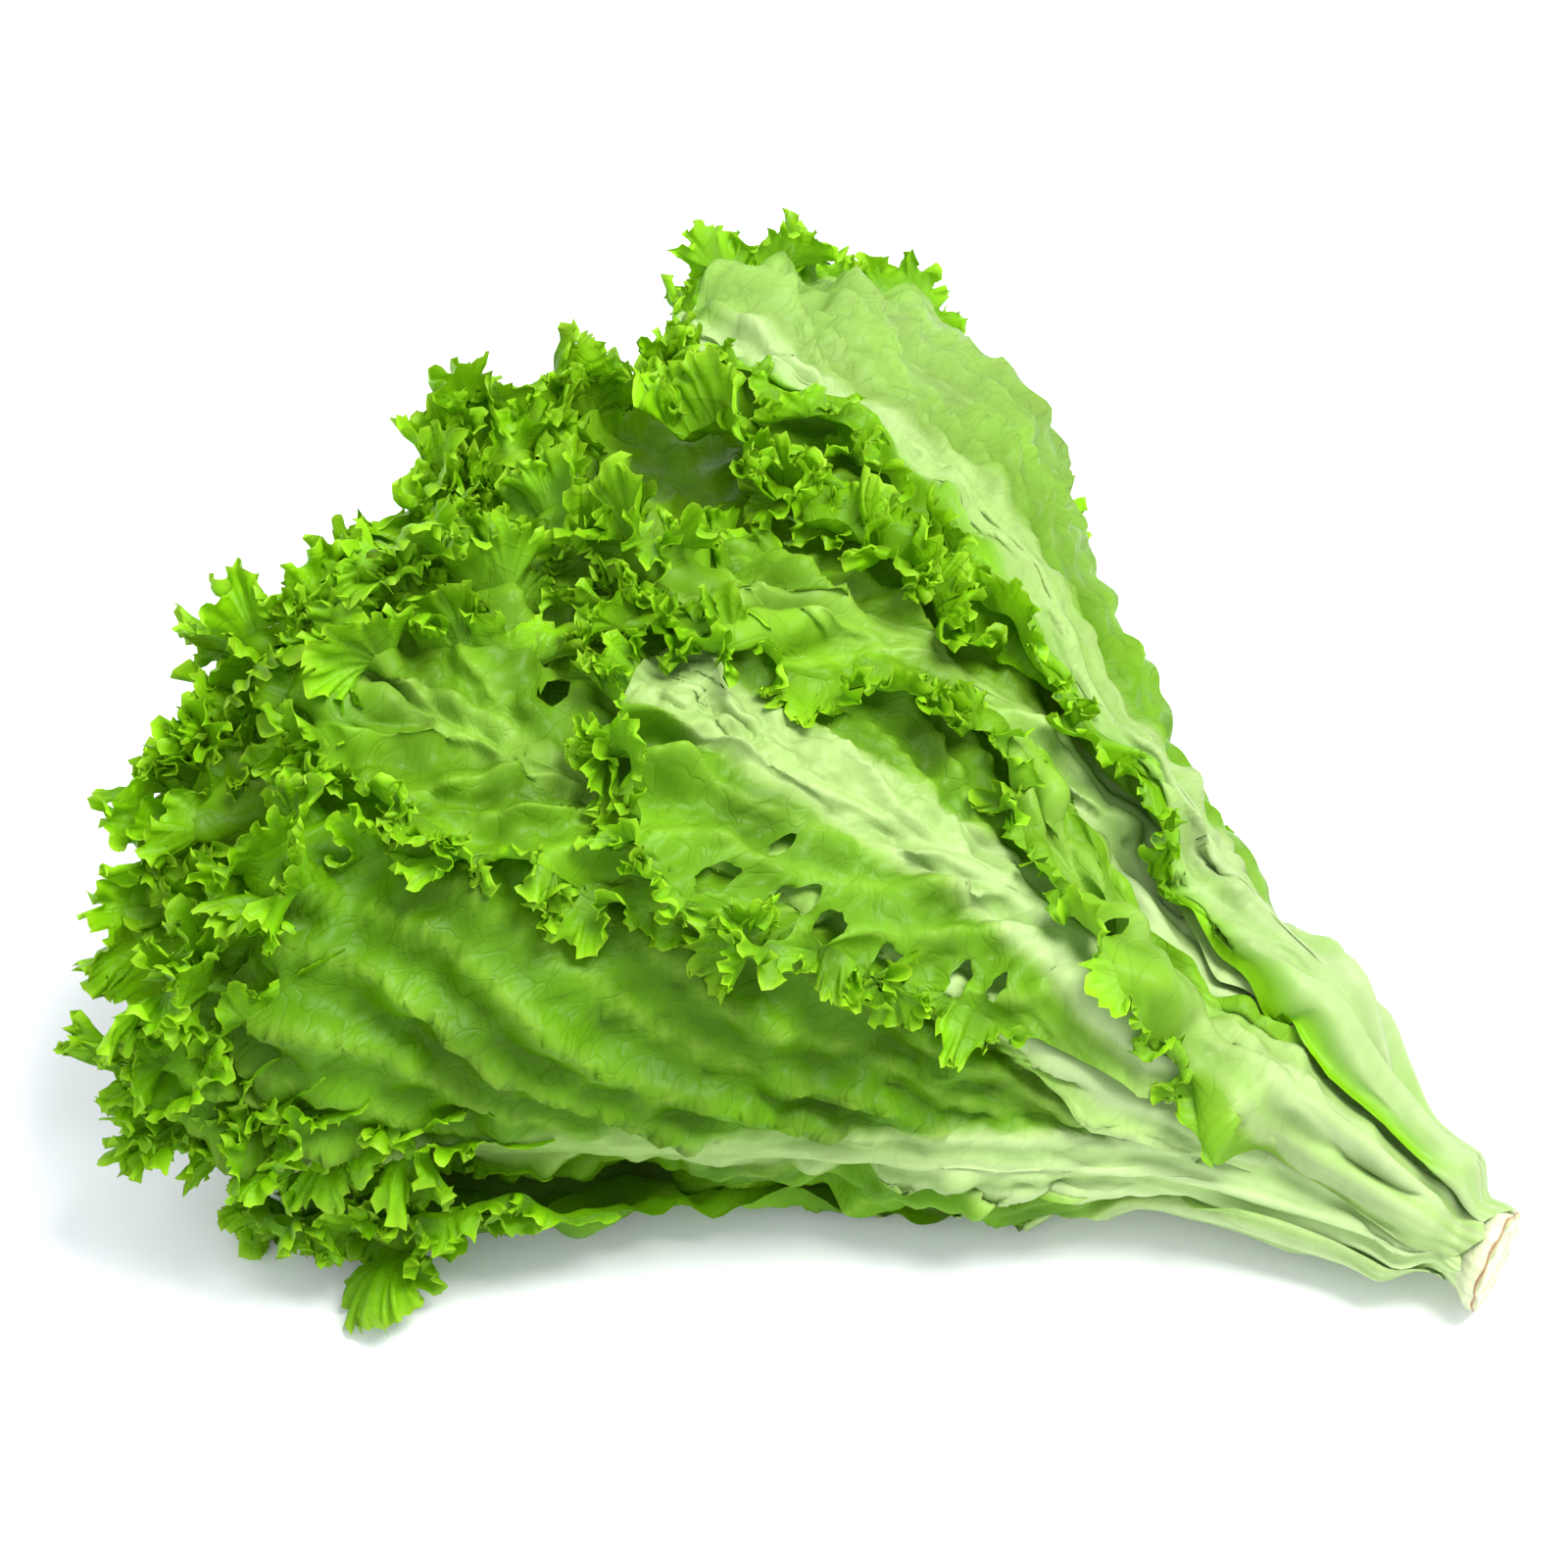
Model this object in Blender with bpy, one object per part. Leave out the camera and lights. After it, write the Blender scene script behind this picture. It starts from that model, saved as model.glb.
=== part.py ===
"""A loose head of frilly green lettuce, cut and lying on its side.

The cut stem is at the +X end and the leaf tips point to -X. The near side is -Y.
Metres, +Z up, the origin at the bottom centre of the head's box.

Every leaf is a sheet laid over the leaves inside it. A point of the head has three
coordinates: r, the distance from the cut face along the stem's axis; theta, the angle
round that axis, 0 on top and positive towards the near side; and shell, 0 on the axis
and 1 on the outside of the head.
"""

import math

import bpy
import numpy as np

# Driving dimensions of the head
STEM_RADIUS = 0.0118
STEM_LENGTH = 0.072
NEAR_HALF_WIDTH = [(0, 0.013), (0.04, 0.023), (0.08, 0.042), (0.12, 0.066), (0.16, 0.092),
                   (0.20, 0.117), (0.24, 0.137), (0.275, 0.145), (0.32, 0.146)]
FAR_HALF_WIDTH = [(0, 0.017), (0.04, 0.030), (0.08, 0.045), (0.12, 0.072), (0.16, 0.107),
                  (0.20, 0.140), (0.24, 0.149), (0.275, 0.141), (0.32, 0.130)]
HALF_HEIGHT = [(0, 0.013), (0.04, 0.0195), (0.08, 0.028), (0.12, 0.039), (0.16, 0.050),
               (0.20, 0.059), (0.24, 0.064), (0.275, 0.065), (0.32, 0.062)]
# Height of the axis as a share of the half height: the head sags flat on its underside
SAG = [(0, 1.0), (0.06, 0.96), (0.12, 0.86), (0.20, 0.76), (0.32, 0.72)]

# Driving dimensions that all the leaves share
BLADE_THICKNESS = 0.0011
PETIOLE_HALF_WIDTH = 0.0090
RIB_HEIGHT = 0.0024      # how far the midrib stands out at the leaf's base
CLEARANCE = 0.0006       # air between one leaf and the next
PLEAT_HEIGHT = 0.0036    # ridges that run along the side veins
TOOTH = 0.035            # how deep the margin is cut, as a share of the half width
VEIN_LEAN = 0.55         # how far a side vein runs forward for each unit outwards
WIDEST_WRAP = math.radians(160)   # how far each half of a leaf may reach round the axis
RIB_END = 0.88           # where the midrib ends, as a share of the leaf's length

# The margin of half a leaf: share of the length, share of the half width
OUTLINE = [(0, 0), (0.10, 0.0), (0.22, 0.09), (0.36, 0.36), (0.52, 0.70), (0.68, 0.93),
           (0.82, 1.0), (0.93, 0.84), (0.985, 0.48), (1.0, 0.0)]

# Columns of a half leaf, from the midrib to the margin: share of the way, rows of the margin's
COLUMNS = [(0, 0.5), (0.12, 0.5), (0.36, 0.5), (0.66, 0.5), (0.88, 1), (1, 1)]
FINE_ROWS = 32
COARSE_ROWS = 20

# Each leaf, from the heart outwards: name, angle at the base, half way and at the tip,
# distance from the cut of its base and its tip, half width towards greater and towards
# smaller angles, shell, height of its ruffles, how far its tip turns out, rows of its margin
LEAVES = [
    ("heart_leaf_1", 100, 95, 90, 0.068, 0.240, 0.040, 0.040, 0.14, 0.010, 0.003, COARSE_ROWS),
    ("heart_leaf_2", -40, -45, -50, 0.070, 0.254, 0.046, 0.046, 0.23, 0.011, 0.004, COARSE_ROWS),
    ("heart_leaf_3", -160, -165, -170, 0.062, 0.262, 0.052, 0.052, 0.32, 0.012, 0.004, COARSE_ROWS),
    ("inner_leaf_1", 60, 62, 66, 0.059, 0.280, 0.060, 0.060, 0.42, 0.014, 0.008, COARSE_ROWS),
    ("inner_leaf_2", -80, -84, -88, 0.062, 0.262, 0.062, 0.062, 0.48, 0.014, 0.008, COARSE_ROWS),
    ("inner_leaf_3", 165, 160, 150, 0.054, 0.276, 0.064, 0.064, 0.54, 0.012, 0.008, COARSE_ROWS),
    ("inner_leaf_4", -14, -10, -4, 0.064, 0.292, 0.068, 0.068, 0.62, 0.018, 0.008, FINE_ROWS),
    ("inner_leaf_5", -130, -128, -125, 0.048, 0.276, 0.068, 0.068, 0.66, 0.012, 0.010, COARSE_ROWS),
    ("inner_leaf_6", 110, 56, 36, 0.041, 0.300, 0.072, 0.068, 0.72, 0.018, 0.004, FINE_ROWS),
    ("outer_leaf_1", 60, 89, 102, 0.010, 0.273, 0.066, 0.108, 0.84, 0.018, 0.010, FINE_ROWS),
    ("outer_leaf_2", 20, 22, 22, 0.050, 0.284, 0.028, 0.062, 0.84, 0.016, 0.006, FINE_ROWS),
    ("outer_leaf_3", -128, -146, -146, 0.011, 0.262, 0.058, 0.044, 0.84, 0.010, 0.003, COARSE_ROWS),
    ("outer_leaf_4", -2, 7, 8, 0.043, 0.216, 0.040, 0.048, 0.88, 0.007, 0.003, FINE_ROWS),
    ("outer_leaf_5", 128, 142, 130, 0.013, 0.256, 0.066, 0.044, 0.88, 0.018, 0.014, FINE_ROWS),
    ("outer_leaf_6", -78, -90, -88, 0.016, 0.271, 0.090, 0.062, 0.88, 0.015, 0.012, COARSE_ROWS),
    ("outer_leaf_7", -46, -22, 6, 0.062, 0.232, 0.020, 0.046, 0.90, 0.012, 0.005, FINE_ROWS),
    ("outer_leaf_8", -70, -44, -28, 0.058, 0.262, 0.048, 0.056, 0.92, 0.020, 0.008, FINE_ROWS),
    ("outer_leaf_9", 16, 4, -16, 0.0080, 0.145, 0.015, 0.014, 0.96, 0.006, 0.002, COARSE_ROWS),
    ("outer_leaf_10", -36, -37, -28, 0.0052, 0.270, 0.020, 0.106, 0.96, 0.012, 0.005, FINE_ROWS),
]

# The lattice on which the leaves are stacked
CEILING_STEP_R = 0.002
CEILING_STEP_THETA = math.radians(2)
CEILING_LENGTH = 0.33
SAMPLES_PER_EDGE = 8
SETTLING_ROUNDS = 3

# Colours as the outside of the head shows them
STEM_COLOUR = (0.80, 0.84, 0.62, 1)
OUTER_COLOUR = (0.46, 0.72, 0.20, 1)
HEART_COLOUR = (0.62, 0.80, 0.22, 1)


def through(knots, x):
    """Heights at x of a smooth curve through the knots."""
    knot_x, knot_y = np.array(knots, float).T
    slope = np.gradient(knot_y, knot_x)
    x = np.clip(x, knot_x[0], knot_x[-1])
    i = np.clip(np.searchsorted(knot_x, x) - 1, 0, len(knot_x) - 2)
    span = knot_x[i + 1] - knot_x[i]
    u = (x - knot_x[i]) / span
    rise = (1 + 2 * u) * (1 - u) ** 2 * knot_y[i] + u * u * (3 - 2 * u) * knot_y[i + 1]
    return rise + u * (1 - u) * span * ((1 - u) * slope[i] - u * slope[i + 1])


def ease(start, end, x):
    """0 before start, 1 after end and smooth between them."""
    u = np.clip((x - start) / (end - start), 0, 1)
    return u * u * (3 - 2 * u)


def half_width(r, theta):
    """Half width of the head, which is not the same on the near and the far side."""
    near = through(NEAR_HALF_WIDTH, r)
    far = through(FAR_HALF_WIDTH, r)
    return (near + far) / 2 + (near - far) / 2 * np.sin(theta)


def flat_underside(r, theta):
    """Shell's share of the full ellipse, less where the underside is flat."""
    return np.minimum(1, through(SAG, r) / np.maximum(-np.cos(theta), 0.01))


def place(r, theta, shell):
    """World points of head coordinates, before the head is centred on the origin."""
    wide = half_width(r, theta)
    high = through(HALF_HEIGHT, r)
    reach = shell * flat_underside(r, theta)
    return np.stack([-r, -wide * reach * np.sin(theta),
                     high * (through(SAG, r) + reach * np.cos(theta))], axis=-1)


def locate(points):
    """Head coordinates of world points: the inverse of place."""
    r = -points[..., 0]
    high = through(HALF_HEIGHT, r)
    up = points[..., 2] / high - through(SAG, r)
    theta = np.arctan2(-points[..., 1], high * up)
    for _ in range(6):
        sideways = -points[..., 1] / half_width(r, theta)
        theta = np.arctan2(sideways, up)
    return r, theta, np.hypot(sideways, up) / flat_underside(r, theta)


def depth(r, theta):
    """Distance from the axis to the tangent of the outermost shell."""
    wide = half_width(r, theta)
    high = through(HALF_HEIGHT, r)
    return 1 / np.sqrt((np.sin(theta) / wide) ** 2 + (np.cos(theta) / high) ** 2)


def turn_by(r, theta, shell, along):
    """Angles reached from theta by going a length along the section of a shell."""
    turns = np.radians(np.arange(-180, 181, 4))
    at = theta[:, None] + turns[None, :]
    wide = half_width(r[:, None], at)
    high = through(HALF_HEIGHT, r)[:, None]
    speed = shell[:, None] * np.hypot(wide * np.cos(at), high * np.sin(at))
    step = (speed[:, 1:] + speed[:, :-1]) / 2 * (turns[1] - turns[0])
    length = np.concatenate([np.zeros((len(r), 1)), np.cumsum(step, axis=1)], axis=1)
    length -= length[:, [len(turns) // 2]]
    return np.array([np.interp(a, row, angles) for a, row, angles in zip(along, length, at)])


def margin(length, width, count):
    """Points of one margin in the flat leaf, evenly spaced from the base to the tip."""
    share = np.linspace(0, 1, 400)
    steps = np.linspace(0, 1, len(OUTLINE))
    along = through(list(zip(steps, [o[0] for o in OUTLINE])), share) * length
    out = through(list(zip(steps, [o[1] for o in OUTLINE])), share)
    out = PETIOLE_HALF_WIDTH * (1 - ease(0.75, 1, along / length)) + out * (width - PETIOLE_HALF_WIDTH)
    out[-1] = 0
    travelled = np.concatenate([[0], np.cumsum(np.hypot(np.diff(along), np.diff(out)))])
    even = np.linspace(0, travelled[-1], count + 1)
    return np.interp(even, travelled, along), np.interp(even, travelled, out)


def rib_foot(along, out, length):
    """Where on the midrib the side vein starts that ends at a point of the margin."""
    share = (along - VEIN_LEAN * out) / length
    bend = RIB_END - 0.25
    squeezed = bend + (RIB_END - bend) * (share - bend) / (1 - bend)
    return length * np.where(share > bend, squeezed, share)


class Leaf:
    """One leaf: a grid of points in head coordinates, its triangles and its thickness."""

    def __init__(self, row):
        (self.name, base, middle, tip, self.base_r, self.tip_r, greater, smaller,
         self.shell, self.ruffle, self.flare, self.rows) = row
        self.angles = [(0, math.radians(base)), (0.5, math.radians(middle)), (1, math.radians(tip))]
        self.points = []
        self.index = {}
        self.lay_out(1, greater)
        self.lay_out(-1, smaller)
        columns = np.array(self.points)
        self.side, self.across, self.row, self.p, self.q = columns.T
        self.triangles = self.strips(1) + self.strips(-1)
        self.rim = self.outline()
        self.spread()

    def lay_out(self, side, width):
        """Points of one half of the flat leaf."""
        length = self.tip_r - self.base_r
        along, out = margin(length, width, self.rows)
        foot = rib_foot(along, out, length)
        for column, (share, density) in enumerate(COLUMNS):
            stride = int(round(1 / density))
            for row in range(0, self.rows + 1, stride):
                key = self.key(side, column, row)
                if key in self.index:
                    continue
                cut = 1 - TOOTH * (row % 2) * share
                p = foot[row] + (along[row] - foot[row]) * share
                self.index[key] = len(self.points)
                self.points.append((side, share, row, p, side * out[row] * share * cut))

    def key(self, side, column, row):
        """The midrib and the tip row belong to both halves."""
        shared = column == 0 or row == self.rows
        return (0 if shared else side, column, row)

    def at(self, side, column, row):
        return self.index[self.key(side, column, row)]

    def strips(self, side):
        """Triangles of one half, wound so that they face out of the head."""
        found = []
        for column in range(len(COLUMNS) - 1):
            here = int(round(1 / COLUMNS[column][1]))
            there = int(round(1 / COLUMNS[column + 1][1]))
            for row in range(0, self.rows, here):
                a = self.at(side, column, row)
                b = self.at(side, column, row + here)
                c = self.at(side, column + 1, row + here)
                d = self.at(side, column + 1, row)
                if there < here:
                    m = self.at(side, column + 1, row + there)
                    found += [(a, m, d), (a, b, m), (b, c, m)]
                else:
                    found += [(a, b, d), (b, c, d)]
        return [t if side > 0 else t[::-1] for t in found]

    def outline(self):
        """The closed loop of the leaf's edge."""
        last = len(COLUMNS) - 1
        near = [self.at(1, last, row) for row in range(self.rows + 1)]
        far = [self.at(-1, last, row) for row in range(self.rows - 1, -1, -1)]
        base = [self.at(-1, column, 0) for column in range(last - 1, 0, -1)]
        base += [self.at(1, column, 0) for column in range(last)]
        return near + far + base

    def spread(self):
        """Head coordinates of the flat leaf's points."""
        self.r = self.base_r + self.p
        share = self.p / (self.tip_r - self.base_r)
        middle = through(self.angles, share)
        opening = ease(self.base_r, self.base_r + 0.10, self.r)
        self.level = self.shell * (0.25 + 0.75 * opening)
        around = np.maximum(self.level, 0.012 / depth(self.r, middle))
        turned = turn_by(self.r, middle, around, self.q) - middle
        self.theta = middle + turned / (1 + (turned / WIDEST_WRAP) ** 4) ** 0.25
        self.scale = depth(self.r, self.theta)

    def raise_relief(self, hidden):
        """Level of the sheet with its pleats and ruffles, pressed flat where it is hidden."""
        share = self.p / (self.tip_r - self.base_r)
        growth = ease(0.22, 0.65, share)
        pressed = 0.35 + 0.5 * ease(0.6, 0.8, self.shell)
        free = 1 - pressed * hidden
        wave = 0.5 + 0.5 * np.cos(self.row * math.pi / 2)
        edge = np.where(self.across > 0.95, 1.0, np.where(self.across > 0.8, 0.45, 0.0))
        ridge = np.isin(self.across, (0.36, 0.66)) * (self.row / 2 % 2) * PLEAT_HEIGHT
        lift = self.ruffle * edge * wave * free * growth + ridge * ease(0.1, 0.3, share)
        flare = self.flare * ease(0.45, 0.9, share) * free
        floor = np.maximum(1, through(SAG, self.r) / np.maximum(-np.cos(self.theta), 0.01))
        room = np.maximum(floor - self.thickness() - self.level, 0)
        return self.level + np.minimum((lift + flare) / self.scale, room)

    def thickness(self):
        """Blade and midrib, measured outwards."""
        share = np.clip(self.p / (self.tip_r - self.base_r), 0, 1)
        rib_width = PETIOLE_HALF_WIDTH * (1 - 0.75 * share)
        rib = np.clip(1 - (self.q / rib_width) ** 2, 0, 1) * RIB_HEIGHT * (1 - share) ** 0.8
        return (BLADE_THICKNESS + rib) * 1.12 / self.scale


def sample_weights():
    """Weights of a triangle's corners at points spread evenly over it."""
    n = SAMPLES_PER_EDGE
    return np.array([(i, j, n - i - j) for i in range(n + 1) for j in range(n + 1 - i)]) / n


def samples(corners):
    """Points spread over triangles given by their corners."""
    return np.einsum("wc,tcx->twx", sample_weights(), corners)


def cells(r, theta):
    """Lattice cells of head coordinates."""
    rows = int(CEILING_LENGTH / CEILING_STEP_R)
    turns = int(round(2 * math.pi / CEILING_STEP_THETA))
    i = np.clip((r / CEILING_STEP_R).astype(int), 0, rows - 1)
    j = np.floor(theta / CEILING_STEP_THETA).astype(int) % turns
    return i, j


def new_lattice():
    shape = (int(CEILING_LENGTH / CEILING_STEP_R), int(round(2 * math.pi / CEILING_STEP_THETA)))
    return np.zeros(shape)


def widen(lattice):
    """Each cell takes the highest value around it."""
    best = lattice.copy()
    for turn in (-1, 0, 1):
        rolled = np.roll(lattice, turn, axis=1)
        best = np.maximum(best, rolled)
        best[1:] = np.maximum(best[1:], rolled[:-1])
        best[:-1] = np.maximum(best[:-1], rolled[1:])
    return best


def record(lattice, points, triangles):
    """Raise a lattice to the shells that a surface reaches."""
    found = samples(points[np.array(triangles)]).reshape(-1, 3)
    r, theta, shell = locate(found)
    np.maximum.at(lattice, cells(r, theta), shell)


def clear_level(leaf, ceiling, level):
    """At samples of the leaf: the shell it has, the lowest that clears what lies inside it."""
    r, theta, shell = locate(samples(place(leaf.r, leaf.theta, level)[np.array(leaf.triangles)]))
    i, j = cells(r, theta)
    lowest = np.where(ceiling[i, j] > 0, ceiling[i, j] + CLEARANCE / depth(r, theta), 0)
    return shell, lowest


def settle(leaf, ceiling, wanted):
    """Raise a leaf's inner face off what lies inside it, by as little as will do."""
    corners = np.array(leaf.triangles)
    weights = sample_weights()
    _, lowest = clear_level(leaf, ceiling, wanted)
    level = wanted.copy()
    for corner in range(3):
        nearest = weights[:, corner] > 0.6
        np.maximum.at(level, corners[:, corner], lowest[:, nearest].max(axis=1))
    share = weights / (weights ** 2).sum(axis=1, keepdims=True)
    for _ in range(SETTLING_ROUNDS):
        shell, lowest = clear_level(leaf, ceiling, level)
        need = np.maximum(lowest - shell, 0)
        lift = np.zeros(len(level))
        for corner in range(3):
            np.maximum.at(lift, corners[:, corner], (need * share[:, corner]).max(axis=1))
        level = level + lift
    return level


def hidden_share(leaf, cover):
    """How much of each point is under leaves further out."""
    i, j = cells(leaf.r, leaf.theta)
    return cover[i, j]


def cover_of(leaf):
    """Lattice mask of the ground that a leaf covers."""
    mask = new_lattice()
    flat = np.stack([leaf.r, leaf.theta, np.zeros(len(leaf.r))], axis=-1)
    found = samples(flat[np.array(leaf.triangles)]).reshape(-1, 3)
    mask[cells(found[:, 0], found[:, 1])] = 1
    return widen(mask)


def soften(mask):
    """Blur a mask over about 8 mm."""
    for _ in range(3):
        mask = (mask + np.roll(mask, 1, axis=1) + np.roll(mask, -1, axis=1)) / 3
        mask[1:-1] = (mask[:-2] + mask[1:-1] + mask[2:]) / 3
    return mask


def stem_rings():
    """Radius of the stem along its length: a cut disc, a shoulder and a taper."""
    return [(0, STEM_RADIUS), (0.0030, STEM_RADIUS), (0.0048, STEM_RADIUS * 0.80),
            (0.016, STEM_RADIUS * 0.70), (0.035, STEM_RADIUS * 0.60),
            (0.055, STEM_RADIUS * 0.45), (STEM_LENGTH, STEM_RADIUS * 0.25)]


def stem_mesh(sides=20):
    """Points and triangles of the stem, closed at both ends."""
    turn = np.linspace(0, 2 * math.pi, sides, endpoint=False)
    points = []
    for r, radius in stem_rings():
        middle = through(HALF_HEIGHT, r) * through(SAG, r)
        points += [(-r, -radius * math.sin(a), middle + radius * math.cos(a)) for a in turn]
    triangles = []
    rings = len(stem_rings())
    for ring in range(rings - 1):
        for k in range(sides):
            a, b = ring * sides + k, ring * sides + (k + 1) % sides
            c, d = b + sides, a + sides
            triangles += [(a, d, c), (a, c, b)]
    for ring, order in ((0, 1), (rings - 1, -1)):
        r, _ = stem_rings()[ring]
        middle = len(points)
        points.append((-r, 0, through(HALF_HEIGHT, r) * through(SAG, r)))
        for k in range(sides):
            triangles.append((middle, ring * sides + k, ring * sides + (k + 1) % sides)[::order])
    return np.array(points), triangles


def leaf_solid(leaf, level):
    """Points and faces of a leaf: outer face, inner face and the edge between them."""
    inner = place(leaf.r, leaf.theta, level)
    outer = place(leaf.r, leaf.theta, level + leaf.thickness())
    count = len(inner)
    faces = [tuple(t) for t in leaf.triangles]
    faces += [tuple(count + i for i in t[::-1]) for t in leaf.triangles]
    loop = leaf.rim
    for a, b in zip(loop, loop[1:] + loop[:1]):
        faces += [(a, b, count + b), (a, count + b, count + a)]
    return outer, inner, faces


def material(name, colour):
    made = bpy.data.materials.new(name)
    made.use_nodes = True
    shader = made.node_tree.nodes["Principled BSDF"]
    shader.inputs["Base Color"].default_value = colour
    shader.inputs["Roughness"].default_value = 0.45
    shader.inputs["Metallic"].default_value = 0
    return made


def add_object(name, points, faces, colour):
    mesh = bpy.data.meshes.new(name)
    mesh.from_pydata([tuple(p) for p in points], [], [tuple(int(i) for i in f) for f in faces])
    mesh.materials.append(material(name + "_finish", colour))
    mesh.shade_smooth()
    mesh.set_sharp_from_angle(angle=math.radians(60))
    made = bpy.data.objects.new(name, mesh)
    bpy.context.scene.collection.objects.link(made)
    return made


def grow():
    """The stem and all the leaves, each laid over the ones before it."""
    ceiling = new_lattice()
    points, triangles = stem_mesh()
    record(ceiling, points, triangles)
    solids = [("stem", points, triangles, STEM_COLOUR)]
    leaves = [Leaf(row) for row in LEAVES]
    covers = [cover_of(leaf) for leaf in leaves]
    for number, leaf in enumerate(leaves):
        above = np.max(covers[number + 1:] + [new_lattice()], axis=0)
        hidden = hidden_share(leaf, soften(above))
        level = settle(leaf, widen(ceiling), leaf.raise_relief(hidden))
        outer, inner, faces = leaf_solid(leaf, level)
        record(ceiling, outer, leaf.triangles)
        share = number / (len(leaves) - 1)
        colour = tuple((1 - share) * h + share * o for h, o in zip(HEART_COLOUR, OUTER_COLOUR))
        solids.append((leaf.name, np.concatenate([outer, inner]), faces, colour))
    return solids


def main():
    for old in list(bpy.data.objects):
        bpy.data.objects.remove(old, do_unlink=True)
    solids = grow()
    everything = np.concatenate([points for _, points, _, _ in solids])
    low, high = everything.min(axis=0), everything.max(axis=0)
    centre = np.array([(low[0] + high[0]) / 2, (low[1] + high[1]) / 2, low[2]])
    for name, points, faces, colour in solids:
        add_object(name, points - centre, faces, colour)


main()
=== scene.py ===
"""The looks of a loose head of frilly lettuce, cut and lying on its side.

Every leaf is a fine sheet that takes the place of one faceted leaf of the frame. It keeps
that leaf's form and adds what the facets are too coarse for: the round midrib with its
ridges, side veins, puckers, and a margin that ruffles over and over.

A point of the head has three coordinates: r, the distance from the cut face; theta, the
angle round the axis, 0 on top and positive towards the near side; and shell, 0 on the
axis and 1 on the outside of the head.
"""

import math

import bpy
import numpy as np
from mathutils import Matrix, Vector
from mathutils.kdtree import KDTree


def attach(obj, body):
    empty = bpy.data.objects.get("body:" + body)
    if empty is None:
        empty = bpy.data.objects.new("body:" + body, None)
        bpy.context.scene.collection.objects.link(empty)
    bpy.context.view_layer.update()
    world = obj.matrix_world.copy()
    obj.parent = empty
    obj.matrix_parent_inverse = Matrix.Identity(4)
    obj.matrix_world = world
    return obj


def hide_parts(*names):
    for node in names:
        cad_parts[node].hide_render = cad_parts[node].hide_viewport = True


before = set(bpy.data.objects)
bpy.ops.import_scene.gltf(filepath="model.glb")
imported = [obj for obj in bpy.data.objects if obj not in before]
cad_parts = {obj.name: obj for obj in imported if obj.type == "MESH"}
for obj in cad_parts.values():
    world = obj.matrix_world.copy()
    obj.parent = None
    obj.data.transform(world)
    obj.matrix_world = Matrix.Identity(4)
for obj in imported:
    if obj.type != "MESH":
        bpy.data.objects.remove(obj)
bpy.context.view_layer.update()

# The head's form, as the frame has it
NEAR_HALF_WIDTH = [(0, 0.013), (0.04, 0.023), (0.08, 0.042), (0.12, 0.066), (0.16, 0.092),
                   (0.20, 0.117), (0.24, 0.137), (0.275, 0.145), (0.32, 0.146)]
FAR_HALF_WIDTH = [(0, 0.017), (0.04, 0.030), (0.08, 0.045), (0.12, 0.072), (0.16, 0.107),
                  (0.20, 0.140), (0.24, 0.149), (0.275, 0.141), (0.32, 0.130)]
HALF_HEIGHT = [(0, 0.013), (0.04, 0.0195), (0.08, 0.028), (0.12, 0.039), (0.16, 0.050),
               (0.20, 0.059), (0.24, 0.064), (0.275, 0.065), (0.32, 0.062)]
SAG = [(0, 1.0), (0.06, 0.96), (0.12, 0.86), (0.20, 0.76), (0.32, 0.72)]
STEM_RADIUS = 0.0118
STEM_LENGTH = 0.072
BLADE_THICKNESS = 0.0011
PETIOLE_HALF_WIDTH = 0.0090
RIB_HEIGHT = 0.0024
TOOTH = 0.035
VEIN_LEAN = 0.55
WIDEST_WRAP = math.radians(160)
RIB_END = 0.88
OUTLINE = [(0, 0), (0.10, 0.0), (0.22, 0.09), (0.36, 0.36), (0.52, 0.70), (0.68, 0.93),
           (0.82, 1.0), (0.93, 0.84), (0.985, 0.48), (1.0, 0.0)]
COLUMNS = [(0, 0.5), (0.12, 0.5), (0.36, 0.5), (0.66, 0.5), (0.88, 1), (1, 1)]

# How the frame's points are matched: on a ring of this radius, and this close
RING_RADIUS = 0.05
SAME_PLACE = 0.0003

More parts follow.
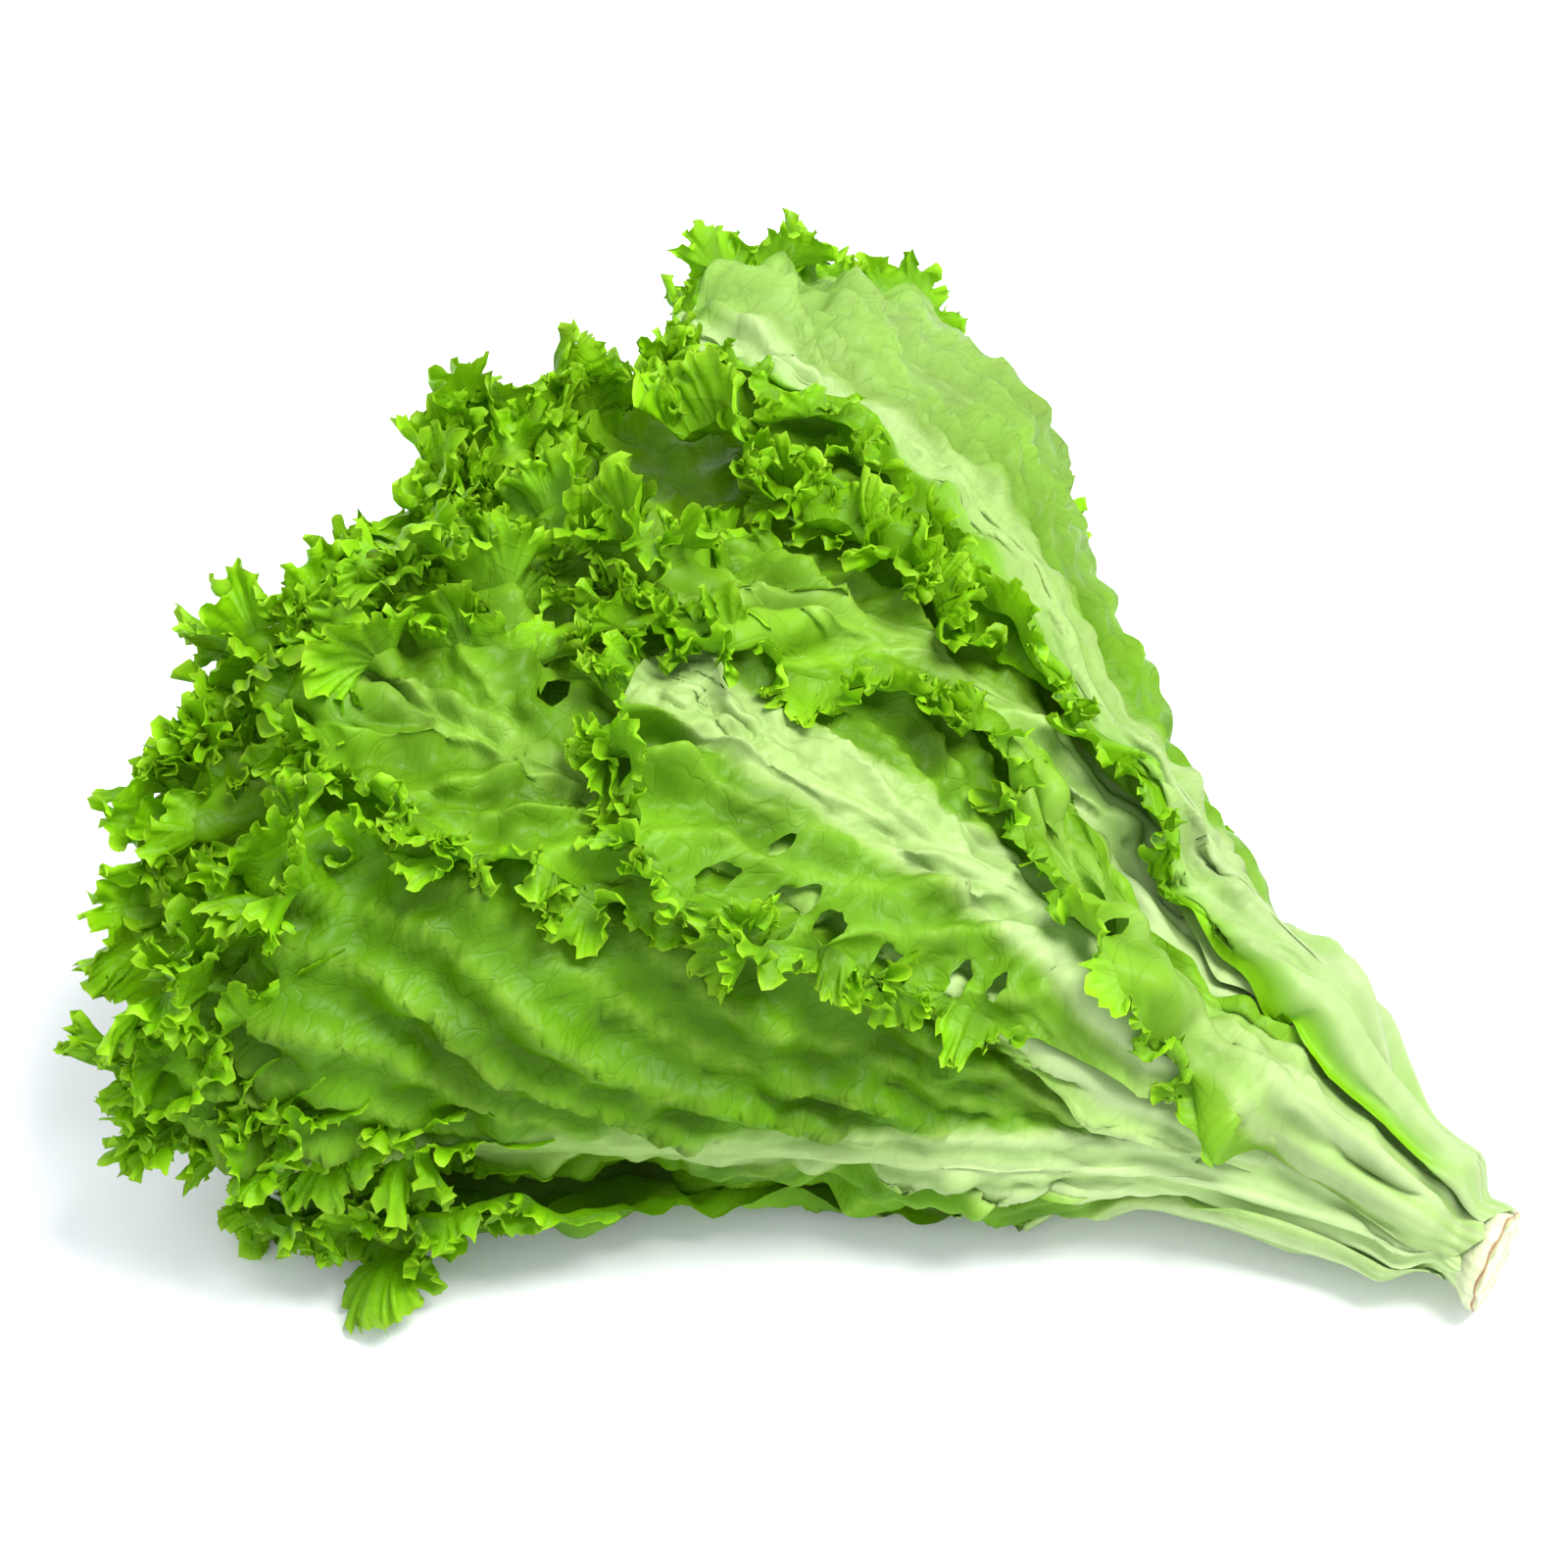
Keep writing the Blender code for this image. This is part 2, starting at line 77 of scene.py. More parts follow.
# Each leaf, from the heart outwards: name, angle at the base, half way and at the tip,
# distance from the cut of its base and its tip, half width towards greater and towards
# smaller angles, shell, rows of its margin in the frame
LEAVES = [
    ("heart_leaf_1", 100, 95, 90, 0.068, 0.240, 0.040, 0.040, 0.14, 20),
    ("heart_leaf_2", -40, -45, -50, 0.070, 0.254, 0.046, 0.046, 0.23, 20),
    ("heart_leaf_3", -160, -165, -170, 0.062, 0.262, 0.052, 0.052, 0.32, 20),
    ("inner_leaf_1", 60, 62, 66, 0.059, 0.280, 0.060, 0.060, 0.42, 20),
    ("inner_leaf_2", -80, -84, -88, 0.062, 0.262, 0.062, 0.062, 0.48, 20),
    ("inner_leaf_3", 165, 160, 150, 0.054, 0.276, 0.064, 0.064, 0.54, 20),
    ("inner_leaf_4", -14, -10, -4, 0.064, 0.292, 0.068, 0.068, 0.62, 32),
    ("inner_leaf_5", -130, -128, -125, 0.048, 0.276, 0.068, 0.068, 0.66, 20),
    ("inner_leaf_6", 110, 56, 36, 0.041, 0.300, 0.072, 0.068, 0.72, 32),
    ("outer_leaf_1", 60, 89, 102, 0.010, 0.273, 0.066, 0.108, 0.84, 32),
    ("outer_leaf_2", 20, 22, 22, 0.050, 0.284, 0.028, 0.062, 0.84, 32),
    ("outer_leaf_3", -128, -146, -146, 0.011, 0.262, 0.058, 0.044, 0.84, 20),
    ("outer_leaf_4", -2, 7, 8, 0.043, 0.216, 0.040, 0.048, 0.88, 32),
    ("outer_leaf_5", 128, 142, 130, 0.013, 0.256, 0.066, 0.044, 0.88, 32),
    ("outer_leaf_6", -78, -90, -88, 0.016, 0.271, 0.090, 0.062, 0.88, 20),
    ("outer_leaf_7", -46, -22, 6, 0.062, 0.232, 0.020, 0.046, 0.90, 32),
    ("outer_leaf_8", -70, -44, -28, 0.058, 0.262, 0.048, 0.056, 0.92, 32),
    ("outer_leaf_9", 16, 4, -16, 0.0080, 0.145, 0.015, 0.014, 0.96, 20),
    ("outer_leaf_10", -36, -37, -28, 0.0052, 0.270, 0.020, 0.106, 0.96, 32),
]

# How finely the sheets are cut: rows along the margin, columns across each half
SHOWN_GRID = (220, 36)
HIDDEN_GRID = (130, 20)
SHOWN = {"inner_leaf_4", "inner_leaf_6", "outer_leaf_1", "outer_leaf_2", "outer_leaf_4",
         "outer_leaf_5", "outer_leaf_7", "outer_leaf_8", "outer_leaf_10", "outer_leaf_6"}

# A sheet stops this far short of the frame's margin; its frill goes on from there
EDGE = 0.0065

# Slow waves of the margin, how far in they reach, and the leaves that wave less
WAVE_LENGTH = 0.026
WAVE_HEIGHT = 0.0034
WAVE_REACH = 0.020
CALM = {"outer_leaf_5": 0.3, "outer_leaf_1": 0.6}

# The gap that a sheet keeps from those inside it, and the lowest that any point may lie
CLEARANCE = 0.0007
LOWEST = 0.0004

# Folds of a frill: the first along its foot, the second along its folded edge
FOLD_LENGTH = 0.0135
FOLD_HEIGHT = 0.0052
FOLD_OVERHANG = 0.15
CRIMP_LENGTH = 0.0062
CRIMP_HEIGHT = 0.0014
TOOTH_LENGTH = 0.0042
TOOTH_DEPTH = 0.0020
FOOT_STEP = 0.0005
FRILL_ROWS = 7
FRILL_STEP = 0.0009

# Side veins: their spacing along the midrib, how far they run forward for each unit outwards,
# and the height of the pleats they stand on
VEIN_SPACING = 0.021
PLEATS = {"outer_leaf_1": (2.3, 0.0058), "outer_leaf_4": (2.6, 0.0034), "outer_leaf_10": (2.8, 0.0034),
          "outer_leaf_2": (1.8, 0.0030), "outer_leaf_7": (2.2, 0.0030)}
PLAIN_PLEATS = (1.5, 0.0024)

# Share of the pleats' height on the side of greater angles, and how strongly a blade puckers
GREATER_SIDE_PLEATS = {"outer_leaf_1": 0.3}
CRUMPLE = {"outer_leaf_1": 1.6, "outer_leaf_2": 1.5, "outer_leaf_4": 1.1}

# Leaves whose frills press through the leaf laid over them
OPEN_TO = {"outer_leaf_1": ("outer_leaf_5",)}

# Margins drawn in under the next leaf: side, shares of the length from and to, and how far
TUCKED = {"outer_leaf_5": (-1, 0.44, 0.66, 0.016), "outer_leaf_1": (1, 0.16, 0.62, 0.020)}

# How much closer a sheet lies on the ones inside it near the stem
HUGS = {"outer_leaf_10": 0.8, "outer_leaf_9": 0.8, "outer_leaf_4": 0.5, "outer_leaf_7": 0.5}

# Strands that run along a leaf's stalk
STRAND_SPACING = 0.0033
STRAND_HEIGHT = 0.00040

# Ridges that fan out along the midrib, and how wide the pale midrib is at its two ends and
# how far it fades
FANS = {"outer_leaf_4": 0.0016, "outer_leaf_10": 0.0018, "outer_leaf_7": 0.0012, "outer_leaf_1": 0.0018,
        "outer_leaf_9": 0.0010}
PALE_WIDTHS = {"outer_leaf_4": (0.0095, 0.0085, 0.25), "outer_leaf_10": (0.011, 0.007, 0.65),
               "outer_leaf_1": (0.0092, 0.0050, 0.40)}
PLAIN_PALE = (0.0092, 0.0028, 0.75)

# How pale a leaf's side veins are; painted light that makes a leaf paler and brighter towards its tip; and
# painted light that brightens its stalk near the stem, where it lies in shade
VEINED = {"outer_leaf_1": 0.50, "outer_leaf_4": 0.40, "outer_leaf_10": 0.18}
PLAIN_VEINED = 0.30
TIP_PAINTED_LIGHT = {"outer_leaf_10": 0.4}
STALK_PAINTED_LIGHT = {"outer_leaf_1": 0.25}

# Leaves with painted shade in the valley beside the midrib on the side of greater angles: there the pale
# midrib gives way to plain deep blade green
SHADED_VALLEY_SIDES = {"outer_leaf_10": 1}

# How much narrower the far side is behind the petioles
WAIST = 0.12

# Holes eaten or torn through a blade: distance from the cut, angle in degrees, radius
HOLES = {
    "outer_leaf_4": [(0.157, 28, 0.005), (0.171, 26, 0.0026), (0.146, 26, 0.0024), (0.133, 29, 0.003),
                     (0.12, 26, 0.0022), (0.112, 24, 0.0018), (0.165, 19, 0.0018)],
    "outer_leaf_9": [(0.098, 4, 0.0018)],
    "outer_leaf_2": [(0.262, 30, 0.0022), (0.225, 14, 0.0026)],
    "outer_leaf_1": [(0.248, 58, 0.005)],
}

# Linear colours, and what each leaf multiplies its blade and its midrib by
BLADE_COLOUR = np.array([0.135, 0.335, 0.004])
HEART_COLOUR = np.array([0.24, 0.44, 0.015])
FRILL_COLOUR = np.array([0.200, 0.500, 0.001])
LIP_COLOUR = np.array([0.36, 0.60, 0.03])
RIB_COLOUR = np.array([0.43, 0.57, 0.25])
BLADE_SHADE = {"outer_leaf_10": (1.02, 1.0, 2.0), "outer_leaf_9": (1.35, 1.15, 6.0),
               "outer_leaf_4": (1.02, 0.98, 3.5), "outer_leaf_7": (1.2, 1.1, 3.0),
               "outer_leaf_2": (1.05, 1.0, 3.0), "outer_leaf_1": (0.84, 0.92, 0.8),
               "outer_leaf_5": (0.75, 0.80, 1.0)}
PALE_SHADE = {"outer_leaf_10": 0.72, "outer_leaf_9": 0.80, "outer_leaf_4": 0.86,
              "outer_leaf_1": 0.93, "outer_leaf_7": 0.88, "outer_leaf_8": 0.85}

# Share of the light that a blade lets through, and how much less a midrib does
GLOW = 0.30
RIB_GLOW_LOSS = 0.20

# Frills of a leaf: side (0 for both), share of the way to the margin, width, curl in
# degrees, and the share of the leaf's length where it starts
MARGIN_FRILL = (0, 1.0, 0.0115, 60, 0.30)
FRILLS = {
    "inner_leaf_4": [MARGIN_FRILL, (0, 0.84, 0.012, 80, 0.45), (0, 0.66, 0.012, 85, 0.5),
                     (0, 0.5, 0.012, 85, 0.55), (0, 0.34, 0.012, 85, 0.6), (0, 0.18, 0.012, 85, 0.66)],
    "inner_leaf_6": [MARGIN_FRILL, (0, 0.84, 0.012, 80, 0.5), (0, 0.66, 0.012, 85, 0.55),
                     (-1, 0.48, 0.012, 85, 0.6), (-1, 0.28, 0.012, 85, 0.66)],
    "outer_leaf_8": [(0, 1.0, 0.013, 65, 0.3), (0, 0.8, 0.013, 80, 0.36), (0, 0.62, 0.013, 85, 0.4),
                     (0, 0.44, 0.013, 85, 0.46), (0, 0.24, 0.012, 85, 0.54)],
    "outer_leaf_1": [(-1, 1.0, 0.012, 60, 0.4), (1, 0.28, 0.012, 85, 0.68),
                     (1, 0.13, 0.013, 85, 0.66), (-1, 0.05, 0.012, 80, 0.64), (-1, 0.15, 0.012, 85, 0.68),
                     (-1, 0.27, 0.011, 85, 0.76), (-1, 0.4, 0.012, 85, 0.8), (-1, 0.52, 0.012, 85, 0.84),
                     (-1, 0.86, 0.012, 75, 0.74), (-1, 0.66, 0.012, 80, 0.82)],
    "outer_leaf_5": [(-1, 1.0, 0.0075, 60, 0.62), (-1, 0.84, 0.01, 75, 0.66), (-1, 0.66, 0.012, 85, 0.7),
                     (-1, 0.48, 0.013, 85, 0.78), (1, 1.0, 0.008, 10, 0.7)],
    "outer_leaf_2": [(0, 1.0, 0.01, 60, 0.45), (-1, 0.84, 0.012, 80, 0.5), (-1, 0.64, 0.012, 85, 0.58),
                     (-1, 0.42, 0.012, 85, 0.68)],
    "outer_leaf_7": [MARGIN_FRILL, (0, 0.6, 0.01, 80, 0.75)],
    "outer_leaf_4": [(1, 1.0, 0.01, 60, 0.3), (-1, 1.0, 0.008, 50, 0.6)],
    "outer_leaf_9": [(1, 1.0, 0.006, 60, 0.35)],
    "outer_leaf_10": [(0, 1.0, 0.0085, 60, 0.3)],
}

# The lattice on which the sheets are stacked
CEILING_STEP_R = 0.0015
CEILING_STEP_THETA = math.radians(1.2)
CEILING_LENGTH = 0.33


def through(knots, x):
    """Heights at x of a smooth curve through the knots."""
    knot_x, knot_y = np.array(knots, float).T
    return hermite(knot_y[:, None], knot_x, np.asarray(x, float).ravel())[:, 0].reshape(np.shape(x))


def hermite(values, knots, x):
    """Rows of a smooth surface through the rows of values, which stand at the knots."""
    slope = np.gradient(values, knots, axis=0)
    x = np.clip(x, knots[0], knots[-1])
    i = np.clip(np.searchsorted(knots, x) - 1, 0, len(knots) - 2)
    span = (knots[i + 1] - knots[i])[:, None]
    u = (x - knots[i])[:, None] / span
    rise = (1 + 2 * u) * (1 - u) ** 2 * values[i] + u * u * (3 - 2 * u) * values[i + 1]
    return rise + u * (1 - u) * span * ((1 - u) * slope[i] - u * slope[i + 1])


def ease(start, end, x):
    """0 before start, 1 after end and smooth between them."""
    u = np.clip((x - start) / (end - start), 0, 1)
    return u * u * (3 - 2 * u)


def half_width(r, theta):
    """Half the head's width, which differs between the near and the far side."""
    near = through(NEAR_HALF_WIDTH, r)
    far = through(FAR_HALF_WIDTH, r)
    return (near + far) / 2 + (near - far) / 2 * np.sin(theta)


def flat_underside(r, theta):
    """Shell's share of the full ellipse, less where the underside is flat."""
    return np.minimum(1, through(SAG, r) / np.maximum(-np.cos(theta), 0.01))


def cut_centre():
    """The point of the floor under the middle of the frame's cut face."""
    points = np.array([v.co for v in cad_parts["stem"].data.vertices])
    disc = points[points[:, 0] > points[:, 0].max() - 0.0001]
    return (disc.min(axis=0) + disc.max(axis=0)) / 2 - np.array([0, 0, HALF_HEIGHT[0][1]])


SHIFT = cut_centre()


def place(r, theta, shell):
    """World points of head coordinates."""
    wide = half_width(r, theta)
    high = through(HALF_HEIGHT, r)
    reach = shell * flat_underside(r, theta)
    return SHIFT + np.stack([-r, -wide * reach * np.sin(theta),
                             high * (through(SAG, r) + reach * np.cos(theta))], axis=-1)


def locate(points):
    """Head coordinates of world points: the inverse of place."""
    points = points - SHIFT
    r = -points[..., 0]
    high = through(HALF_HEIGHT, r)
    up = points[..., 2] / high - through(SAG, r)
    theta = np.arctan2(-points[..., 1], high * up)
    for _ in range(6):
        sideways = -points[..., 1] / half_width(r, theta)
        theta = np.arctan2(sideways, up)
    return r, theta, np.hypot(sideways, up) / flat_underside(r, theta)


def ring_point(r, theta):
    """A point that stands for r and theta alone, for finding what lies at the same place."""
    return r, RING_RADIUS * math.cos(theta), RING_RADIUS * math.sin(theta)


def depth(r, theta):
    """Distance from the axis to the tangent of the outermost shell."""
    wide = half_width(r, theta)
    high = through(HALF_HEIGHT, r)
    return 1 / np.sqrt((np.sin(theta) / wide) ** 2 + (np.cos(theta) / high) ** 2)


def turn_by(r, theta, shell, along):
    """Angles reached from theta by going a length along the section of a shell."""
    turns = np.radians(np.arange(-180, 181, 4))
    at = theta[:, None] + turns[None, :]
    wide = half_width(np.repeat(r[:, None], len(turns), axis=1), at)
    high = through(HALF_HEIGHT, r)[:, None]
    speed = shell[:, None] * np.hypot(wide * np.cos(at), high * np.sin(at))
    step = (speed[:, 1:] + speed[:, :-1]) / 2 * (turns[1] - turns[0])
    length = np.concatenate([np.zeros((len(r), 1)), np.cumsum(step, axis=1)], axis=1)
    length -= length[:, [len(turns) // 2]]
    return np.array([np.interp(a, row, angles) for a, row, angles in zip(along, length, at)])


def margin(length, width, count):
    """Points of one margin in the flat leaf, evenly spaced, and the margin's length."""
    share = np.linspace(0, 1, 400)
    along, out = hermite(np.array(OUTLINE), np.linspace(0, 1, len(OUTLINE)), share).T
    along = along * length
    out = PETIOLE_HALF_WIDTH * (1 - ease(0.75, 1, along / length)) + out * (width - PETIOLE_HALF_WIDTH)
    out[-1] = 0
    travelled = np.concatenate([[0], np.cumsum(np.hypot(np.diff(along), np.diff(out)))])
    even = np.linspace(0, travelled[-1], count + 1)
    return np.interp(even, travelled, along), np.interp(even, travelled, out), travelled[-1]


def rib_foot(along, out, length):
    """Where on the midrib the side vein starts that ends at a point of the margin."""
    share = (along - VEIN_LEAN * out) / length
    bend = RIB_END - 0.25
    squeezed = bend + (RIB_END - bend) * (share - bend) / (1 - bend)
    return length * np.where(share > bend, squeezed, share)


def wobble(x, seed, waves=6):
    """Smooth noise of about unit size along x, which is measured in wavelengths."""
    rng = np.random.default_rng(seed)
    total = np.zeros_like(x)
    for _ in range(waves):
        total += np.sin(2 * math.pi * (x * rng.uniform(0.5, 1.5) + rng.uniform()))
    return total / math.sqrt(waves / 2)


def dapple(x, y, seed, waves=14):
    """Smooth noise of about unit size over a plane measured in wavelengths."""
    rng = np.random.default_rng(seed)
    total = np.zeros_like(x)
    for _ in range(waves):
        way = rng.uniform(0, math.pi)
        pitch = rng.uniform(0.6, 1.4)
        total += np.sin(2 * math.pi * (pitch * (x * math.cos(way) + y * math.sin(way)) + rng.uniform()))
    return total / math.sqrt(waves / 2)


class Leaf:
    """One leaf: where its points lie in the flat leaf and in the head."""

    def __init__(self, number, row):
        (self.name, base, middle, tip, self.base_r, self.tip_r, self.greater, self.smaller,
         self.shell, self.rows) = row
        self.number = number
        self.length = self.tip_r - self.base_r
        self.angles = [(0, math.radians(base)), (0.5, math.radians(middle)), (1, math.radians(tip))]

    def wrap(self, p, q):
        """Head coordinates r and theta of points of the flat leaf."""
        r = self.base_r + p
        middle = through(self.angles, p / self.length)
        opening = ease(self.base_r, self.base_r + 0.10, r)
        around = np.maximum(self.shell * (0.25 + 0.75 * opening), 0.012 / depth(r, middle))
        turned = turn_by(r, middle, around, q) - middle
        return r, middle + turned / (1 + (turned / WIDEST_WRAP) ** 4) ** 0.25

    def frame_points(self):
        """The frame's grid: row, column, p and q of each point."""
        found = []
        for side, width in ((1, self.greater), (-1, self.smaller)):
            along, out, _ = margin(self.length, width, self.rows)
            foot = rib_foot(along, out, self.length)
            for column, (share, density) in enumerate(COLUMNS):
                if column == 0 and side < 0:
                    continue
                for row in range(0, self.rows + 1, int(round(1 / density))):
                    cut = 1 - TOOTH * (row % 2) * share
                    p = foot[row] + (along[row] - foot[row]) * share
                    found.append((row, side * column, p, side * out[row] * share * cut))
        return np.array(found)

    def inner_levels(self):
        """Shell of the frame leaf's inner face on its grid, one column for each share."""
        points = np.array([v.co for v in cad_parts[self.name].data.vertices])
        r, theta, shell = locate(points)
        tree = KDTree(len(r))
        for i, (a, t) in enumerate(zip(r, theta)):
            tree.insert(ring_point(a, t), i)
        tree.balance()
        last = len(COLUMNS) - 1
        grid = np.full((self.rows + 1, 2 * last + 1), np.nan)
        spots = self.frame_points()
        r, theta = self.wrap(spots[:, 2], spots[:, 3])
        for (row, column, _, _), a, t in zip(spots, r, theta):
            near = tree.find_range(ring_point(a, t), SAME_PLACE)
            if near:
                grid[int(row), last + int(column)] = min(shell[i] for _, i, _ in near)
        return fill_rows(grid)


def fill_rows(grid):
    """Fill what a column lacks from its neighbours in the same column."""
    rows = np.arange(len(grid))
    for column in grid.T:
        known = ~np.isnan(column)
        column[~known] = np.interp(rows[~known], rows[known], column[known])
    return grid


def blur(field, rounds):
    """Average of each point and its neighbours, several times."""
    for _ in range(rounds):
        padded = np.pad(field, 1, mode="edge")
        field = (padded[:-2, 1:-1] + padded[2:, 1:-1] + padded[1:-1, :-2] + padded[1:-1, 2:]
                 + 2 * field) / 6
    return field


def spaced_columns(count):
    """Shares from the midrib to the margin, closer at both ends."""
    t = np.linspace(0, 1, count + 1)
    return t - 0.45 * np.sin(2 * math.pi * t) / (2 * math.pi)


class Sheet:
    """The fine grid of a leaf. Rows run along the margin, columns from margin to margin."""

    def __init__(self, leaf):
        self.leaf = leaf
        self.row_count, half = SHOWN_GRID if leaf.name in SHOWN else HIDDEN_GRID
        shares = spaced_columns(half)
        signed = np.concatenate([-shares[:0:-1], shares])
        self.half = half
        self.s, signed = np.meshgrid(np.linspace(0, 1, self.row_count + 1), signed, indexing="ij")
        self.across = np.abs(signed)
        self.side = np.where(signed < 0, -1, 1)
        self.lay_flat()
        r, theta = leaf.wrap(self.p.ravel(), self.q.ravel())
        self.r = r.reshape(self.p.shape)
        self.theta = theta.reshape(self.p.shape)
        self.cells = lattice_cells(self.r, self.theta)
        coarse = leaf.inner_levels()
        knots = np.array([c[0] for c in COLUMNS])
        knots = np.concatenate([-knots[:0:-1], knots])
        down = hermite(coarse, np.arange(leaf.rows + 1.0), np.linspace(0, leaf.rows, self.row_count + 1))
        dense = np.linspace(-1, 1, 241)
        table = hermite(down.T, knots, dense).T
        at = (self.side * self.v + 1) * 120
        low = np.minimum(at.astype(int), 239)
        row = np.arange(self.row_count + 1)[:, None]
        self.level = table[row, low] * (1 - at + low) + table[row, low + 1] * (at - low)

    def lay_flat(self):
        """Place of each point in the flat leaf, and how far it is from the margin."""
        leaf = self.leaf
        near = margin(leaf.length, leaf.greater, self.row_count)
        far = margin(leaf.length, leaf.smaller, self.row_count)
        near_foot = rib_foot(near[0], near[1], leaf.length)[:, None]
        far_foot = rib_foot(far[0], far[1], leaf.length)[:, None]
        greater = self.side > 0
        own_foot = np.where(greater, near_foot, far_foot)
        along = np.where(greater, near[0][:, None], far[0][:, None])
        out = np.where(greater, near[1][:, None], far[1][:, None])
        reach = np.maximum(np.hypot(along - own_foot, out), 0.02)
        trim = 1 - np.minimum(0.20, EDGE / reach) * ease(0.10, 0.30, along / leaf.length)
        if leaf.name in TUCKED:
            side, start, stop, far_in = TUCKED[leaf.name]
            length_share = along / leaf.length
            tuck = ease(start - 0.08, start + 0.02, length_share)
            tuck = tuck * ease(stop + 0.04, stop - 0.06, length_share)
            trim = trim - np.where(self.side == side, np.minimum(far_in / reach, 0.5) * tuck, 0)
        self.v = self.across * trim
        foot = near_foot + (own_foot - near_foot) * np.minimum(1, self.v / 0.12)
        self.p = foot + (along - foot) * self.v
        self.q = self.side * out * self.v
        self.arc = self.s * np.where(greater, near[2], far[2])
        self.from_margin = reach * (trim - self.v)
        self.share = np.clip(self.p / leaf.length, 0, 1)
        self.root = ease(0.009, 0.001, self.p)

    def rib(self):
        """1 on the midrib and 0 beside it."""
        width = PETIOLE_HALF_WIDTH * (1 - 0.72 * self.share)
        return np.clip(1 - (self.q / width) ** 2, 0, 1) ** 0.6

    def thickness(self):
        """Blade and round midrib, measured outwards."""
        return BLADE_THICKNESS + self.rib() * RIB_HEIGHT * (1 - self.share) ** 0.8

    def base_points(self):
        scale = depth(self.r, self.theta)
        return place(self.r, self.theta, self.level + self.thickness() * 1.12 / scale)


def directions(points, sheet):
    """Unit vectors at each point: along the margin, towards the margin and out of the head."""
    along = unit(np.gradient(points, axis=0))
    across = unit(np.gradient(points, axis=1)) * sheet.side[..., None]
    out = unit(np.cross(along, across))
    ray = place(sheet.r, sheet.theta, 1.0) - place(sheet.r, sheet.theta, 0.0)
    out *= np.sign((out * ray).sum(axis=-1, keepdims=True))
    return along, across, out


def travel(points):
    """Distance gone at each of a row of points."""
    return np.concatenate([[0], np.cumsum(np.linalg.norm(np.diff(points, axis=0), axis=1))])


def unit(vectors):
    return vectors / np.maximum(np.linalg.norm(vectors, axis=-1, keepdims=True), 1e-9)


def waves(sheet):
    """Slow waves of the margin, out of the head."""
    fade = np.exp(-sheet.from_margin / WAVE_REACH) * ease(0.20, 0.45, sheet.share)
    fade = fade * CALM.get(sheet.leaf.name, 1.0)
    out = np.zeros_like(sheet.s)
    for side in (-1, 1):
        number = 1001 + 100 * sheet.leaf.number + side
        turn = sheet.arc / WAVE_LENGTH
        phase = 2 * math.pi * turn + 1.2 * wobble(turn / 2.5, number)
        size = WAVE_HEIGHT * np.clip(1 + 0.45 * wobble(turn / 3, number + 5), 0.2, 2)
        out += np.where(sheet.side == side, size * (0.55 + np.sin(phase)) * fade, 0)
    return out


def vein_start(sheet, lean):
    """Where on the midrib the side vein through each point starts. Veins leave it steeply."""
    wide = max(sheet.leaf.greater, sheet.leaf.smaller)
    out = np.abs(sheet.q)
    return sheet.p - lean * out * (1 - 0.30 * out / wide)


def relief(sheet):
    """Pleats, side veins, puckers and slow waves of the blade."""
    leaf = sheet.leaf
    seed = 100 * leaf.number
    lean, height = PLEATS.get(leaf.name, PLAIN_PLEATS)
    blade = ease(0.12, 0.36, sheet.share) * ease(0.0, 0.10, sheet.v)
    drift = 0.30 * dapple(sheet.p / 0.11, sheet.q / 0.07, seed + 65)
    turn = vein_start(sheet, lean) / VEIN_SPACING + drift + 0.37 * sheet.side
    crest = 1 - np.abs(np.sin(math.pi * turn)) ** 0.85
    uneven = np.clip(1 + 0.5 * dapple(sheet.p / 0.06, sheet.q / 0.03, seed + 66), 0.3, 1.8)
    pleat = crest * height * uneven * ease(1.05, 0.45, sheet.v)
    pleat = np.where(sheet.side > 0, pleat * GREATER_SIDE_PLEATS.get(leaf.name, 1.0), pleat)
    slow = dapple(sheet.p / 0.045, sheet.q / 0.040, seed + 70)
    quick = dapple(sheet.p / 0.014, sheet.q / 0.012, seed + 71)
    fine = dapple(sheet.p / 0.0065, sheet.q / 0.0060, seed + 72, 20)
    puckers = (np.maximum(quick, -0.3) * 0.0012 + fine * 0.00032) * CRUMPLE.get(leaf.name, 1.0)
    puckers = puckers * ease(0.0, 0.45, sheet.share)
    sheet.hollow = blade * np.clip(1 - 1.6 * crest, 0, 1)
    return blade * (pleat + 0.0014 * slow + puckers), crest ** 3 * blade * ease(1.0, 0.5, sheet.v)


def stalk(sheet):
    """Height of the strands and ridges that run along the midrib."""
    spread = sheet.q / (0.0095 + 0.022 * sheet.share)
    within = np.clip(1 - spread ** 2, 0, 1) ** 0.5 * ease(0.80, 0.35, sheet.share)
    ridge = (0.5 + 0.5 * np.cos(5 * math.pi * spread)) * within
    drift = 1.5 * dapple(sheet.p / 0.08, sheet.q / 0.02, 100 * sheet.leaf.number + 73)
    strand = np.cos(2 * math.pi * sheet.q / STRAND_SPACING + drift)
    fade = ease(0.50, 0.22, sheet.share) * ease(1.0, 0.85, sheet.v)
    sheet.groove = np.maximum(np.clip(within - 1.4 * ridge, 0, 1), 0.55 * np.clip(-strand, 0, 1) * fade)
    return FANS.get(sheet.leaf.name, 0.0004) * ridge + STRAND_HEIGHT * (1 + strand) * fade


def lattice_cells(r, theta):
    rows = int(CEILING_LENGTH / CEILING_STEP_R)
    turns = int(round(2 * math.pi / CEILING_STEP_THETA))
    i = np.clip((r / CEILING_STEP_R).astype(int), 0, rows - 1)
    j = np.floor(theta / CEILING_STEP_THETA).astype(int) % turns
    return i, j


def new_lattice():
    rows = int(CEILING_LENGTH / CEILING_STEP_R)
    return np.zeros((rows, int(round(2 * math.pi / CEILING_STEP_THETA))))


